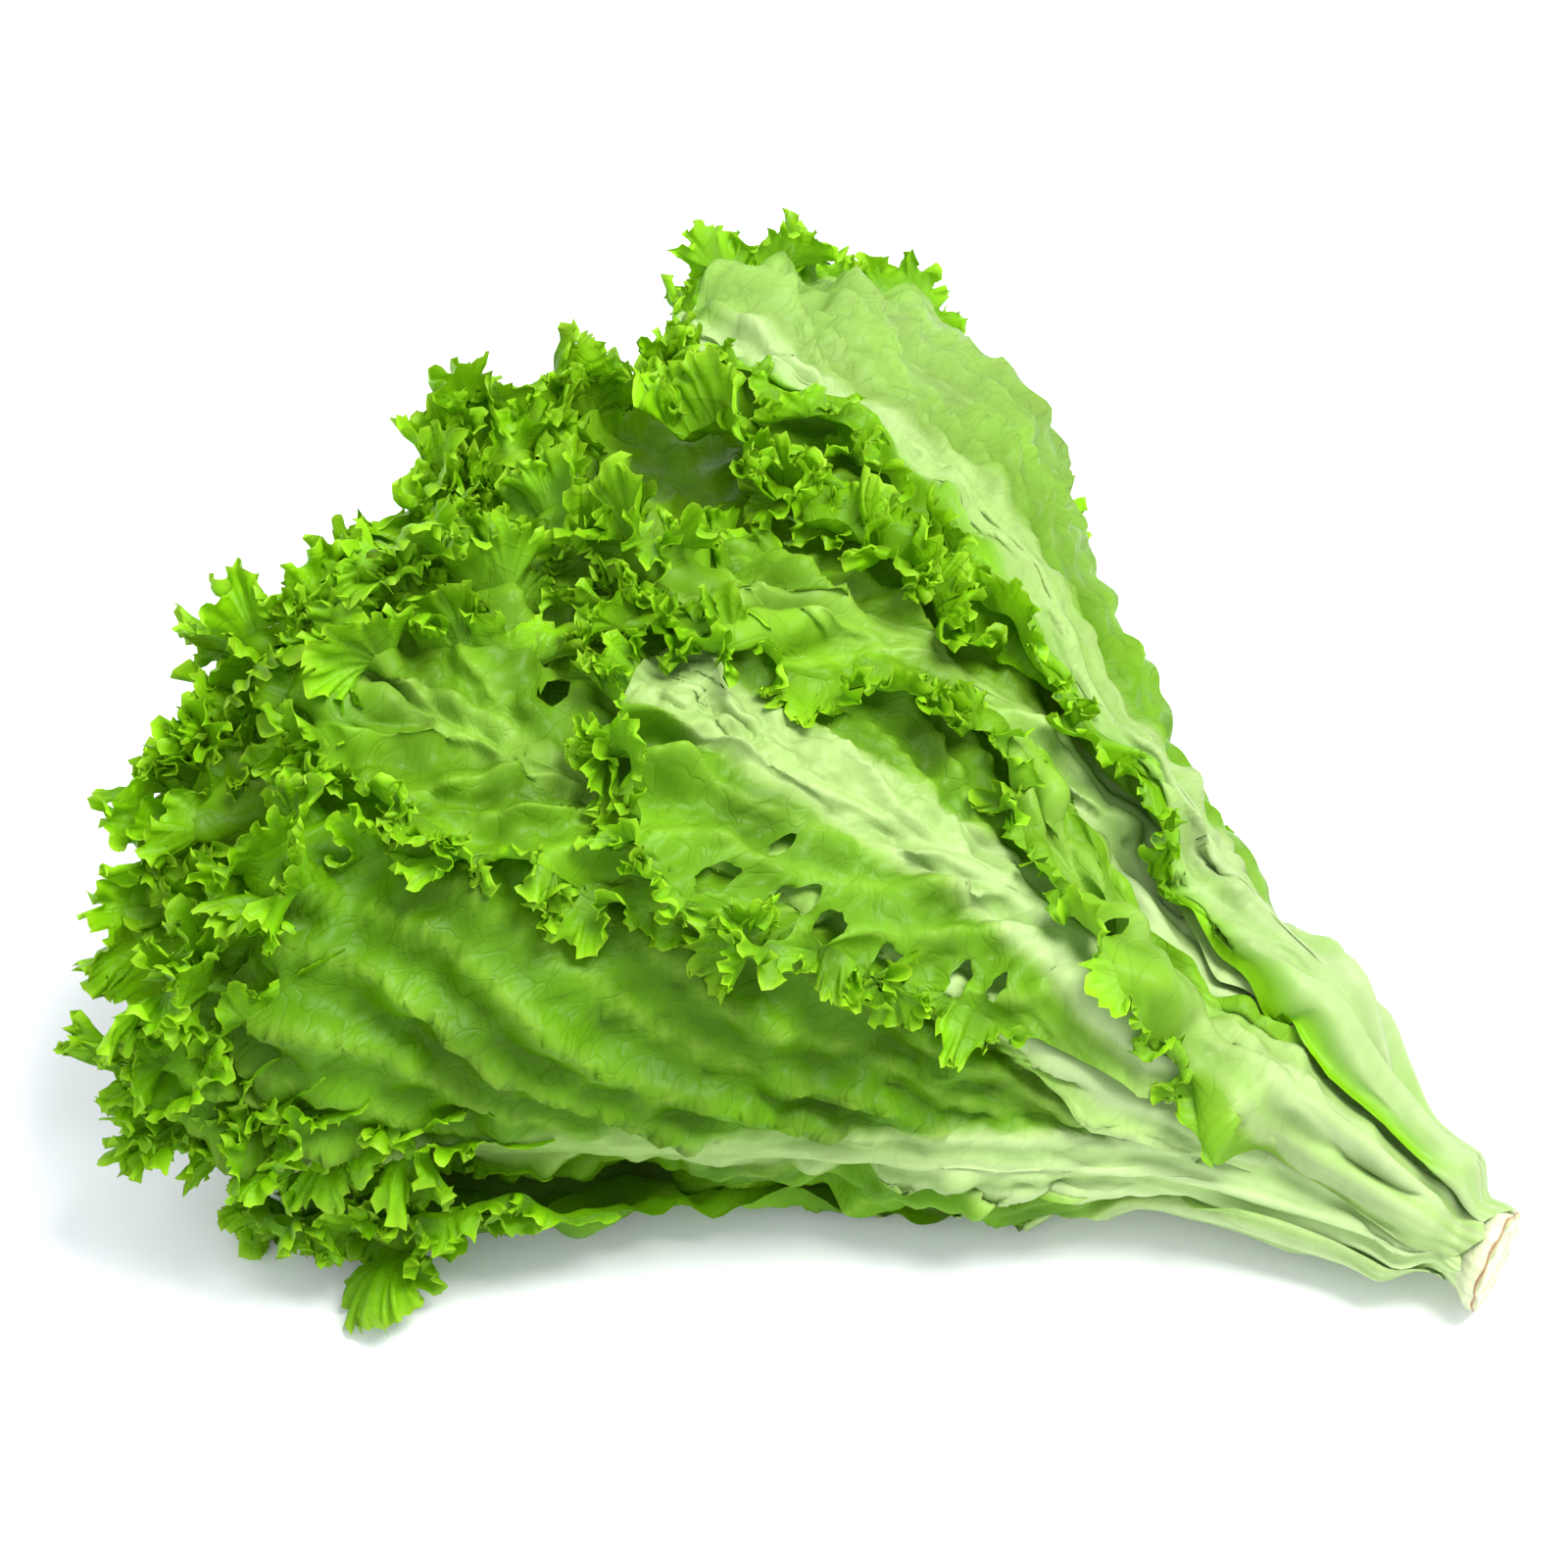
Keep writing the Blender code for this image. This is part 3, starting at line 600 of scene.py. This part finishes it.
def stem_ceiling():
    """The lattice with the stem alone on it."""
    lattice = new_lattice()
    rows, turns = lattice.shape
    r, theta = np.meshgrid(np.arange(rows) * CEILING_STEP_R, np.arange(turns) * CEILING_STEP_THETA,
                           indexing="ij")
    return np.where(r < STEM_LENGTH, stem_radius(r) * 1.04 / depth(r, theta), 0)


def stem_radius(r):
    """The cut stub, which thins where the leaves have left it."""
    return through([(0, STEM_RADIUS), (0.0030, STEM_RADIUS), (0.0052, STEM_RADIUS * 0.84),
                    (0.016, STEM_RADIUS * 0.72), (0.035, STEM_RADIUS * 0.60),
                    (0.055, STEM_RADIUS * 0.45), (STEM_LENGTH, STEM_RADIUS * 0.25)], r)


def widen(lattice):
    """Each cell takes the highest value around it."""
    best = lattice.copy()
    for turn in (-1, 0, 1):
        rolled = np.roll(lattice, turn, axis=1)
        best = np.maximum(best, rolled)
        best[1:] = np.maximum(best[1:], rolled[:-1])
        best[:-1] = np.maximum(best[:-1], rolled[1:])
    return best


def cover_of(sheet):
    """Lattice mask of the ground that a sheet covers."""
    mask = new_lattice()
    mask[sheet.cells] = 1
    return widen(widen(mask))


def soften(mask):
    for _ in range(6):
        mask = (mask + np.roll(mask, 1, axis=1) + np.roll(mask, -1, axis=1)) / 3
        mask[1:-1] = (mask[:-2] + mask[1:-1] + mask[2:]) / 3
    return mask


def lift_clear(points, ceiling, rounds, loose=1.0):
    """Push a grid of points out where it would dip into the sheets inside it."""
    r, theta, shell = locate(points)
    lowest = ceiling[lattice_cells(r, theta)]
    need = np.where(lowest > 0, lowest + CLEARANCE / depth(r, theta) - shell, 0)
    need = np.maximum(need, 0)
    need = np.maximum(blur(need, rounds), need - 0.0004 / depth(r, theta))
    return place(r, theta, shell + need * loose)


def hug(sheet, ceiling):
    """Levels of a sheet that lies closer on the ones inside it near the stem."""
    lowest = ceiling[sheet.cells]
    spare = np.where(lowest > 0, sheet.level - lowest - CLEARANCE / depth(sheet.r, sheet.theta), 0)
    belly = HUGS.get(sheet.leaf.name, 0) * ease(0.055, 0.080, sheet.r) * ease(0.125, 0.100, sheet.r)
    rim = 0.95 * ease(0.35, 0.95, sheet.v) * ease(0.42, 0.28, sheet.share)
    level = sheet.level - blur(np.maximum(spare, 0), 8) * np.maximum(belly, rim)
    sunk = sheet.root * (lowest > 0)
    under = 0.96 * blur(lowest, 10) - sheet.thickness() / depth(sheet.r, sheet.theta)
    return level + (under - level) * sunk


def shape(sheet, cover, ceiling):
    """World points of a sheet with all its relief, and how strong each vein is."""
    free = 1 - 0.92 * cover[sheet.cells]
    sheet.level = hug(sheet, ceiling)
    base = sheet.base_points()
    along, across, out = directions(base, sheet)
    bumps, sheet.vein = relief(sheet)
    points = base + out * (waves(sheet) * free + bumps)[..., None]
    points = lift_clear(points, ceiling, 12, 1 - sheet.root)
    _, _, out = directions(points, sheet)
    points = points + out * (stalk(sheet) * (1 - sheet.root))[..., None]
    points[..., 2] = np.maximum(points[..., 2], LOWEST)
    points[-1] = (points[-1] + points[-1, ::-1]) / 2
    return pierce(sheet, points)


def pierce(sheet, points):
    """Open the holes of a blade: points inside one move to its rim, which curls out a little."""
    sheet.gone = np.zeros(sheet.s.shape, bool)
    for k, (hole_r, angle, radius) in enumerate(HOLES.get(sheet.leaf.name, [])):
        r, theta, shell = locate(points)
        scale = depth(r, theta)
        away_r = r - hole_r
        away_t = (theta - math.radians(angle)) * scale
        apart = np.maximum(np.hypot(away_r, away_t), 1e-6)
        way = np.arctan2(away_t, away_r)
        rim = radius * (1 + 0.22 * np.sin(2 * way + k) + 0.14 * np.sin(5 * way + 2 * k))
        inside = apart < rim
        curl = 0.0016 * np.exp(-(np.maximum(apart - rim, 0) / 0.0022) ** 2) * (apart < 4 * radius)
        push = np.where(inside, rim / apart, 1)
        moved = place(hole_r + away_r * push, math.radians(angle) + away_t * push / scale,
                      shell + curl / scale)
        near = apart < 4 * radius
        points = np.where(near[..., None], moved, points)
        sheet.gone |= inside
    return points


class Foot:
    """The line across a sheet from which a frill grows: up one side and down the other."""

    def __init__(self, sheet, points, cover, side, share):
        self.side = side
        self.column = int(np.argmin(np.abs(sheet.across[0, sheet.half:] - share)))
        self.half = sheet.half
        _, across, out = directions(points, sheet)
        self.travelled = travel(self.trace(points))
        self.at = np.arange(0, self.travelled[-1], FOOT_STEP)
        self.points = self.even(points, 2)
        self.across = unit(self.even(across, 10))
        self.out = unit(self.even(out, 10))
        self.share = self.even(sheet.share[..., None], 1)[:, 0]
        self.free = 1 - ease(0.30, 0.80, self.even(cover[sheet.cells][..., None], 6)[:, 0])

    def trace(self, field):
        """A field's values down the line."""
        if self.side:
            return field[:, self.half + self.side * self.column]
        return np.concatenate([field[:, self.half + self.column], field[-2::-1, self.half - self.column]])

    def even(self, field, rounds):
        """A field along the line at even steps, smoothed some rounds."""
        line = self.trace(field).T
        spaced = np.stack([np.interp(self.at, self.travelled, values) for values in line], axis=1)
        for _ in range(rounds):
            padded = np.pad(spaced, ((1, 1), (0, 0)), mode="edge")
            spaced = (padded[:-2] + 2 * spaced + padded[2:]) / 4
        return spaced


def folded(foot, number, width, curl):
    """Points of a frill from its foot to its edge after the first folding, and its width."""
    a = foot.at
    wide = width * np.clip(1 + 0.28 * wobble(a / 0.035, number), 0.55, 1.4) * foot.free
    bend = math.radians(curl) * np.clip(1 + 0.55 * wobble(a / 0.045, number + 1), 0.0, 2.0)
    tangent = unit(np.gradient(foot.points, axis=0))
    away = unit(foot.across - tangent * (foot.across * tangent).sum(axis=1, keepdims=True))
    out = unit(foot.out - tangent * (foot.out * tangent).sum(axis=1, keepdims=True)
               - away * (foot.out * away).sum(axis=1, keepdims=True))
    phase = 2 * math.pi * a / FOLD_LENGTH + 1.3 * wobble(a / (2.5 * FOLD_LENGTH), number + 2)
    size = FOLD_HEIGHT * np.clip(1 + 0.5 * wobble(a / (3 * FOLD_LENGTH), number + 3), 0.3, 1.5)
    size = size * wide / width
    steps = np.linspace(0, 1, FRILL_ROWS + 1) ** 0.85
    centre = foot.points.copy()
    rows = []
    for j, t in enumerate(steps):
        angle = (bend * (0.25 + 0.75 * t))[:, None]
        way = np.cos(angle) * away + np.sin(angle) * out
        if j:
            centre = centre + way * (wide * (t - steps[j - 1]))[:, None]
        facing = np.cos(angle) * out - np.sin(angle) * away
        grow = t ** 0.95
        lift = 0.75 * np.clip(np.cos(angle[:, 0]), 0, 1) + np.sin(phase)
        slide = -FOLD_OVERHANG * FOLD_LENGTH * np.sin(2 * phase) * grow * wide / width
        rows.append(centre + facing * (size * grow * lift)[:, None] + tangent * slide[:, None])
    return np.stack(rows, axis=1), steps, wide


def frill(foot, number, width, curl, spacing):
    """A frill's points, the share of its width at each, its width and its place along the foot."""
    points, steps, wide = folded(foot, number, width, curl)
    edge = points[:, -1]
    travelled = travel(edge)
    even = np.arange(0, travelled[-1], spacing)
    counted = np.arange(len(edge))
    index = np.interp(even, travelled, counted)
    low = np.minimum(index.astype(int), len(edge) - 2)
    part = (index - low)[:, None, None]
    points = points[low] * (1 - part) + points[low + 1] * part
    wide = np.interp(index, counted, wide)
    where = np.interp(index, counted, foot.at)
    e, t = np.meshgrid(even, steps, indexing="ij")
    return crimped(points, t, e, wide, width, number), t, wide, where


def crimped(points, t, e, wide, width, number):
    """A frill after the second folding, with its edge lobed and toothed; e runs along the edge."""
    along = unit(np.gradient(points, axis=0))
    across = unit(np.gradient(points, axis=1))
    facing = unit(np.cross(along, across))
    scale = np.minimum(1, wide / width)[:, None]
    phase = 2 * math.pi * e / CRIMP_LENGTH + 1.5 * wobble(e / (2.2 * CRIMP_LENGTH), number + 4)
    phase = phase + (1 - t) * 2.0 * wobble(e / 0.025, number + 9)
    lobe = np.maximum(0, wobble(e / 0.013, number + 10)) * 0.22 * width
    rough = 0.0007 * dapple(e / 0.0075, t * width / 0.0075, number + 11) * t * scale
    size = CRIMP_HEIGHT * np.clip(1 + 0.6 * wobble(e / 0.03, number + 5), 0.1, 2) * t ** 2.5 * scale
    notch = np.abs(np.sin(math.pi * e / TOOTH_LENGTH + 1.5 * wobble(e / 0.014, number + 6))) ** 0.75
    depth_of = TOOTH_DEPTH * np.clip(1 + 0.6 * wobble(e / 0.015, number + 7), 0.1, 2.2)
    cut = (depth_of * notch * t ** 4 + lobe * t ** 2) * scale
    slide = -0.12 * CRIMP_LENGTH * np.sin(2 * phase) * t ** 2.5 * scale
    points = points + facing * (size * np.sin(phase) + rough)[..., None] - across * cut[..., None]
    return points + along * slide[..., None]


def tints(sheet):
    """Colour of each point of a sheet, and how much of it is midrib."""
    name = sheet.leaf.name
    blade, pale = leaf_colours(sheet.leaf)
    low_width, high_width, fade = PALE_WIDTHS.get(name, PLAIN_PALE)
    rib_width = low_width + (high_width - low_width) * sheet.share
    rib = ease(1.25, 0.75, np.abs(sheet.q) / rib_width) * (1 - fade * ease(0.20, 0.75, sheet.share))
    low = 1 - ease(0.10, 0.46, sheet.share)
    # Painted light: a leaf's tip grows paler and brighter, standing in for the light that falls on it
    far = TIP_PAINTED_LIGHT.get(name, 0) * ease(0.30, 0.90, sheet.share)
    # Painted light: the stalk is brightened near the stem, where it lies in shade, and the painted tip
    # light is added to the pale colour too
    pale = pale * (1 + far + STALK_PAINTED_LIGHT.get(name, 0) * low)[..., None]
    veined = VEINED.get(name, PLAIN_VEINED) * sheet.vein
    paleness = np.clip(rib + 0.70 * low + veined + far, 0, 1) - 0.40 * sheet.groove
    paleness = np.clip(paleness, 0, 1)[..., None]
    # Painted shade: beside the midrib on the side of greater angles the pale colour gives way to deep blade
    # green, standing in for the shade in the valley there
    valley_shade = (ease(0.004, 0.008, sheet.q) * ease(0.02, 0.08, sheet.share))[..., None]
    valley_shade = valley_shade * SHADED_VALLEY_SIDES.get(name, 0)
    paleness = paleness * (1 - valley_shade)
    blade = blade * (1 - 0.9 * valley_shade) + BLADE_COLOUR * 0.9 * valley_shade
    patch = dapple(sheet.p / 0.03, sheet.q / 0.03, 900 + sheet.leaf.number)[..., None]
    lip = np.exp(-sheet.from_margin / 0.010)[..., None]
    colour = blade * (1 + 0.10 * patch) * (1 - 0.5 * lip) + FRILL_COLOUR * 0.5 * lip
    colour = colour * (1 - 0.20 * sheet.hollow)[..., None]
    fibrous = np.maximum(rib, 0.8 * low)[..., None]
    # The painted tip light also keeps the pale colour from turning yellow, as on the midrib
    whole = np.clip(fibrous + 1.6 * far[..., None], 0, 1)
    pale = pale * np.concatenate([0.80 + 0.20 * whole, np.ones_like(whole), 0.25 + 0.75 * whole], axis=-1)
    return np.concatenate([colour * (1 - paleness) + pale * paleness, fibrous], axis=-1)


def leaf_colours(leaf):
    """Blade and midrib colour of a leaf: the heart is paler and yellower."""
    age = min(1, leaf.number / 8)
    blade = BLADE_COLOUR * age + HEART_COLOUR * (1 - age)
    return blade * BLADE_SHADE.get(leaf.name, 1.0), RIB_COLOUR * PALE_SHADE.get(leaf.name, 1.0)


def drawn_in(points):
    """The far side a little narrower behind the petioles, the same for every leaf."""
    r = SHIFT[0] - points[..., 0]
    y = points[..., 1] - SHIFT[1]
    narrow = 1 - WAIST * ease(0.025, 0.065, r) * ease(0.175, 0.120, r)
    moved = points.copy()
    moved[..., 1] = SHIFT[1] + np.where(y > 0, y * narrow, y)
    return moved


def numbered(grid):
    """The points of a grid, numbered row by row."""
    return np.arange(grid.shape[0] * grid.shape[1]).reshape(grid.shape[:2])


def flat(arrays):
    """All the numbers of some arrays in one row."""
    return np.concatenate(arrays).reshape(-1).astype(np.float32)


class Cloth:
    """The grids of points that make up one leaf, gathered for a single mesh."""

    def __init__(self):
        self.points = []
        self.colours = []
        self.spots = []
        self.quads = []
        self.count = 0

    def add(self, points, colour, spot, gone=None, index=None):
        if index is None:
            index = numbered(points)
        corners = np.stack([index[:-1, :-1], index[1:, :-1], index[1:, 1:], index[:-1, 1:]], axis=-1)
        if gone is not None:
            corners = corners[~(gone[:-1, :-1] & gone[1:, :-1] & gone[1:, 1:] & gone[:-1, 1:])]
        self.quads.append(corners.reshape(-1, 4) + self.count)
        self.points.append(drawn_in(points).reshape(-1, 3))
        self.colours.append(colour.reshape(-1, 4))
        self.spots.append(spot.reshape(-1, 3))
        self.count += index.size

    def mesh(self, name):
        quads = np.concatenate(self.quads)
        mesh = bpy.data.meshes.new(name)
        mesh.vertices.add(self.count)
        mesh.vertices.foreach_set("co", flat(self.points))
        mesh.loops.add(quads.size)
        mesh.loops.foreach_set("vertex_index", quads.reshape(-1).astype(np.int32))
        mesh.polygons.add(len(quads))
        mesh.polygons.foreach_set("loop_start", np.arange(0, quads.size, 4, dtype=np.int32))
        mesh.update(calc_edges=True)
        tint = mesh.color_attributes.new("tint", "FLOAT_COLOR", "POINT")
        tint.data.foreach_set("color", flat(self.colours))
        spot = mesh.attributes.new("flat_leaf", "FLOAT_VECTOR", "POINT")
        spot.data.foreach_set("vector", flat(self.spots))
        mesh.validate()
        mesh.shade_smooth()
        return mesh


def add_sheet(cloth, sheet, points):
    """The blade, whose last row folds shut along the tip."""
    index = numbered(points)
    index[-1, :sheet.half] = index[-1, :sheet.half:-1]
    spot = np.stack([sheet.p, sheet.q, np.full_like(sheet.p, 0.1 * sheet.leaf.number)], axis=-1)
    cloth.add(points, tints(sheet), spot, sheet.gone, index)


def add_frill(cloth, sheet, points, cover, ceiling, number, row):
    """One frill of a leaf, grown from a line across its sheet."""
    side, share, width, curl, start = row
    foot = Foot(sheet, points, cover, side, share)
    foot.free = foot.free * ease(start, start + 0.14, foot.share)
    spacing = FRILL_STEP if sheet.leaf.name in SHOWN else 1.8 * FRILL_STEP
    made, t, wide, where = frill(foot, number, width, curl, spacing)
    made = lift_clear(made, ceiling, 3)
    made[..., 2] = np.maximum(made[..., 2], LOWEST)
    blade, _ = leaf_colours(sheet.leaf)
    mix = (t ** 1.3)[..., None]
    shade = 1 + 0.12 * wobble(where[:, None] / 0.012, number + 8)[..., None]
    colour = (blade * (1 - mix) + FRILL_COLOUR * mix) * shade
    colour = colour + (LIP_COLOUR - colour) * 0.6 * (t ** 9)[..., None]
    colour = np.concatenate([colour, np.zeros(t.shape + (1,))], axis=-1)
    spot = np.stack(np.broadcast_arrays(where[:, None], t * width, 0.1 * sheet.leaf.number + 0.05), axis=-1)
    gone = np.repeat((wide < 0.0012)[:, None], t.shape[1], axis=1)
    cloth.add(made, colour, spot, gone)


def feed(tree, socket, value):
    """Link a node's input to an output, or set it."""
    if isinstance(value, bpy.types.NodeSocket):
        tree.links.new(value, socket)
    else:
        socket.default_value = value


def feed_all(tree, node, **inputs):
    """Link or set inputs by name, with _ for the spaces in it."""
    for name, value in inputs.items():
        feed(tree, node.inputs[name.replace("_", " ")], value)
    return node


def new_node(tree, kind, **inputs):
    """A shader node with some of its inputs set or linked."""
    return feed_all(tree, tree.nodes.new(kind), **inputs)


def maths(tree, operation, *values):
    """The result of a maths node."""
    node = tree.nodes.new("ShaderNodeMath")
    node.operation = operation
    for socket, value in zip(node.inputs, values):
        feed(tree, socket, value)
    return node.outputs[0]


def tinted_material(name):
    """A material with its tint node and the output that says where in the flat leaf a point is."""
    made = bpy.data.materials.new(name)
    made.use_nodes = True
    nodes = made.node_tree.nodes
    tint = nodes.new("ShaderNodeVertexColor")
    tint.layer_name = "tint"
    spot = nodes.new("ShaderNodeAttribute")
    spot.attribute_name = "flat_leaf"
    return made, tint, spot.outputs["Vector"]


def coloured(tree, tint, amount):
    """The tint times an amount, given to the shader as its colour."""
    colour = tree.nodes.new("ShaderNodeVectorMath")
    colour.operation = "SCALE"
    feed_all(tree, colour, Vector=tint.outputs["Color"], Scale=amount)
    feed_all(tree, tree.nodes["Principled BSDF"], Base_Color=colour.outputs["Vector"])
    return colour.outputs["Vector"]


def vein_net(tree, spot):
    """0 on the lines of a fine net of veins and 1 between them."""
    warp = new_node(tree, "ShaderNodeTexNoise", Vector=spot, Scale=90.0)
    bent = new_node(tree, "ShaderNodeMixRGB", Fac=0.020, Color1=spot, Color2=warp.outputs["Color"])
    net = new_node(tree, "ShaderNodeTexVoronoi", Vector=bent.outputs["Color"], Scale=190.0)
    net.feature = "DISTANCE_TO_EDGE"
    line = new_node(tree, "ShaderNodeMapRange", Value=net.outputs["Distance"], From_Max=0.10)
    return line.outputs["Result"]


def stalk_ridges(tree, spot):
    """Fine bands that run along the midrib."""
    ridges = new_node(tree, "ShaderNodeTexWave", Vector=spot, Scale=95.0, Distortion=1.2, Detail_Scale=0.3)
    ridges.bands_direction = "Y"
    return ridges.outputs["Fac"]


def leaf_material():
    """Glossy blade with a fine net of veins, midribs with lengthwise ridges, some glow."""
    made, tint, spot = tinted_material("leaf")
    tree = made.node_tree
    shader = tree.nodes["Principled BSDF"]
    rib = tint.outputs["Alpha"]
    line = vein_net(tree, spot)
    small = new_node(tree, "ShaderNodeTexNoise", Vector=spot, Scale=260.0).outputs["Fac"]
    blade_height = maths(tree, "MULTIPLY_ADD", small, 1.2, maths(tree, "MULTIPLY", line, 0.55))
    rib_height = maths(tree, "MULTIPLY_ADD", stalk_ridges(tree, spot), 1.6, small)
    not_rib = maths(tree, "SUBTRACT", 1.0, rib)
    height = maths(tree, "ADD", maths(tree, "MULTIPLY", blade_height, not_rib),
                   maths(tree, "MULTIPLY", rib_height, rib))
    bump = new_node(tree, "ShaderNodeBump", Height=height, Strength=0.30, Distance=0.0007)
    darker = maths(tree, "MAXIMUM", maths(tree, "MULTIPLY_ADD", line, 0.07, 0.93), rib)
    mottled = maths(tree, "MULTIPLY_ADD", small, 0.24, 0.88)
    colour = coloured(tree, tint, maths(tree, "MULTIPLY", darker, mottled))
    feed_all(tree, shader, Normal=bump.outputs["Normal"], Roughness=0.42, Specular_IOR_Level=0.16)
    glow = new_node(tree, "ShaderNodeBsdfTranslucent", Color=colour, Normal=bump.outputs["Normal"])
    both = new_node(tree, "ShaderNodeMixShader", Fac=maths(tree, "MULTIPLY_ADD", rib, -RIB_GLOW_LOSS, GLOW))
    tree.links.new(shader.outputs["BSDF"], both.inputs[1])
    tree.links.new(glow.outputs["BSDF"], both.inputs[2])
    feed_all(tree, tree.nodes["Material Output"], Surface=both.outputs["Shader"])
    return made


def add_piece(name, mesh, node, material):
    """A finished piece in the place of a node of the frame."""
    mesh.materials.append(material)
    made = bpy.data.objects.new(name, mesh)
    bpy.context.scene.collection.objects.link(made)
    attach(made, "root")
    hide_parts(node)
    return made


def grow_leaves():
    """Every leaf's sheet and frills, each laid over the ones before it."""
    sheets = [Sheet(Leaf(number, row)) for number, row in enumerate(LEAVES)]
    covers = [cover_of(sheet) for sheet in sheets]
    ceiling = stem_ceiling()
    material = leaf_material()
    for number, sheet in enumerate(sheets):
        name = sheet.leaf.name
        over = [c for s, c in zip(sheets[number + 1:], covers[number + 1:])
                if s.leaf.name not in OPEN_TO.get(name, ())]
        above = soften(np.max(over + [new_lattice()], axis=0))
        below = widen(ceiling)
        points = shape(sheet, above, below)
        cloth = Cloth()
        add_sheet(cloth, sheet, points)
        for k, row in enumerate(FRILLS.get(name, [MARGIN_FRILL])):
            add_frill(cloth, sheet, points, above, below, 2000 + 100 * number + 10 * k, row)
        r, theta, shell = locate(points)
        np.maximum.at(ceiling, lattice_cells(r, theta), shell)
        add_piece(name + "_fine", cloth.mesh(name + "_fine"), name, material)


def stem_rings():
    """Distance from the cut, share of the radius and colour of each ring of the stem."""
    core, ring, rust = (0.56, 0.58, 0.36), (0.36, 0.40, 0.18), (0.28, 0.15, 0.07)
    side, green = (0.52, 0.58, 0.34), (0.44, 0.60, 0.24)
    face = [(0.0006, 0.02, core), (0.0006, 0.25, core), (0.0005, 0.45, core), (0.0003, 0.60, ring),
            (0.0003, 0.68, core), (0.0001, 0.84, core), (0.0000, 0.92, ring), (0.0002, 0.97, ring),
            (0.0004, 1.00, rust), (0.0007, 1.00, rust), (0.0010, 1.00, side)]
    body = [(r, 1.0, side) for r in np.arange(0.0022, 0.006, 0.0006)]
    rest = [(r, 1.0, green) for r in np.arange(0.006, STEM_LENGTH, 0.002)]
    return face + body + rest


def add_stem():
    """The stub that the leaves grow from, cut across at its thick end."""
    cloth = Cloth()
    turn = np.linspace(0, 2 * math.pi, 121)
    rows, colours = [], []
    uneven = 1 + 0.035 * np.cos(5 * turn + 0.7) + 0.02 * np.cos(8 * turn + 2.1) + 0.008 * np.cos(23 * turn)
    for r, share, colour in stem_rings():
        radius = stem_radius(r) * share * (1 + (uneven - 1) * share)
        middle = through(HALF_HEIGHT, r) * through(SAG, r)
        rough = 0.00025 * np.cos(9 * turn + 40 * share) * share
        rows.append(SHIFT + np.stack([-r - rough * (r < 0.002), -radius * np.sin(turn),
                                      middle + radius * np.cos(turn)], axis=1))
        shade = 1 + 0.10 * np.cos(11 * turn + 30 * share) + 0.06 * np.cos(31 * turn)
        colours.append(np.concatenate([np.outer(shade, colour), np.ones((len(turn), 1))], axis=1))
    points = np.stack(rows)
    far = np.arange(len(rows))[:, None] * 0.002
    spot = np.stack(np.broadcast_arrays(far, turn * 0.01, 7.0), axis=-1)
    index = numbered(points)
    index[:, -1] = index[:, 0]
    cloth.add(points, np.stack(colours), spot, index=index)
    add_piece("stem_fine", cloth.mesh("stem_fine"), "stem", stem_material())


def stem_material():
    """Moist pith and skin, mottled and faintly fibrous."""
    made, tint, spot = tinted_material("stem")
    tree = made.node_tree
    grain = new_node(tree, "ShaderNodeTexNoise", Vector=spot, Scale=600.0, Detail=4.0).outputs["Fac"]
    coloured(tree, tint, maths(tree, "MULTIPLY_ADD", grain, 0.5, 0.75))
    bump = new_node(tree, "ShaderNodeBump", Height=grain, Strength=0.4, Distance=0.0005)
    feed_all(tree, tree.nodes["Principled BSDF"], Normal=bump.outputs["Normal"], Roughness=0.45,
             Subsurface_Weight=0.25, Subsurface_Radius=(0.004, 0.004, 0.002))
    return made


def add_floor():
    """A plain pale floor."""
    made = bpy.data.materials.new("floor_white")
    made.use_nodes = True
    tree = made.node_tree
    feed_all(tree, tree.nodes["Principled BSDF"], Base_Color=(0.90, 0.915, 0.94, 1), Roughness=0.6)
    bpy.ops.mesh.primitive_plane_add(size=6, location=(0, 0, 0))
    floor = bpy.context.object
    floor.name = "floor"
    floor.data.materials.append(made)


def add_lights():
    """An even pale sky and one broad lamp that looks at the head."""
    world = bpy.data.worlds.new("studio")
    world.use_nodes = True
    tree = world.node_tree
    feed_all(tree, tree.nodes["Background"], Color=(0.95, 0.97, 1.0, 1), Strength=1.18)
    bpy.context.scene.world = world
    light = bpy.data.lights.new("key", "AREA")
    light.shape = "DISK"
    light.size = 0.7
    light.energy = 25
    light.color = (1, 0.98, 0.95)
    lamp = bpy.data.objects.new("key", light)
    lamp.location = LAMP_PLACE
    lamp.rotation_euler = (LAMP_TARGET - LAMP_PLACE).to_track_quat("-Z", "Y").to_euler()
    bpy.context.scene.collection.objects.link(lamp)
    bpy.context.scene.view_settings.view_transform = "Standard"


# Where the lamp hangs and what it looks at
LAMP_PLACE = Vector((0.35, 0.25, 1.20))
LAMP_TARGET = Vector((0, 0, 0.05))

# The photograph's camera: degrees, metres, the lens in millimetres, and the point it looks at,
# in metres from the floor under the middle of the cut
CAMERA_AZIMUTH = 31
CAMERA_ELEVATION = 50
CAMERA_DISTANCE = 0.950
CAMERA_LENS = 96
CAMERA_TARGET = (-0.18433, -0.00199, 0.06773)


def add_camera():
    """The photograph's view of the head."""
    azimuth, elevation = math.radians(CAMERA_AZIMUTH), math.radians(CAMERA_ELEVATION)
    back = Vector((math.sin(azimuth) * math.cos(elevation),
                   -math.cos(azimuth) * math.cos(elevation), math.sin(elevation)))
    camera = bpy.data.cameras.new("camera")
    camera.lens = CAMERA_LENS
    camera.sensor_width = 36
    camera.clip_start = 0.01
    made = bpy.data.objects.new("camera", camera)
    made.location = Vector(SHIFT) + Vector(CAMERA_TARGET) + back * CAMERA_DISTANCE
    made.rotation_euler = back.to_track_quat("Z", "Y").to_euler()
    bpy.context.scene.collection.objects.link(made)
    bpy.context.scene.camera = made


grow_leaves()
add_stem()
add_floor()
add_lights()
add_camera()
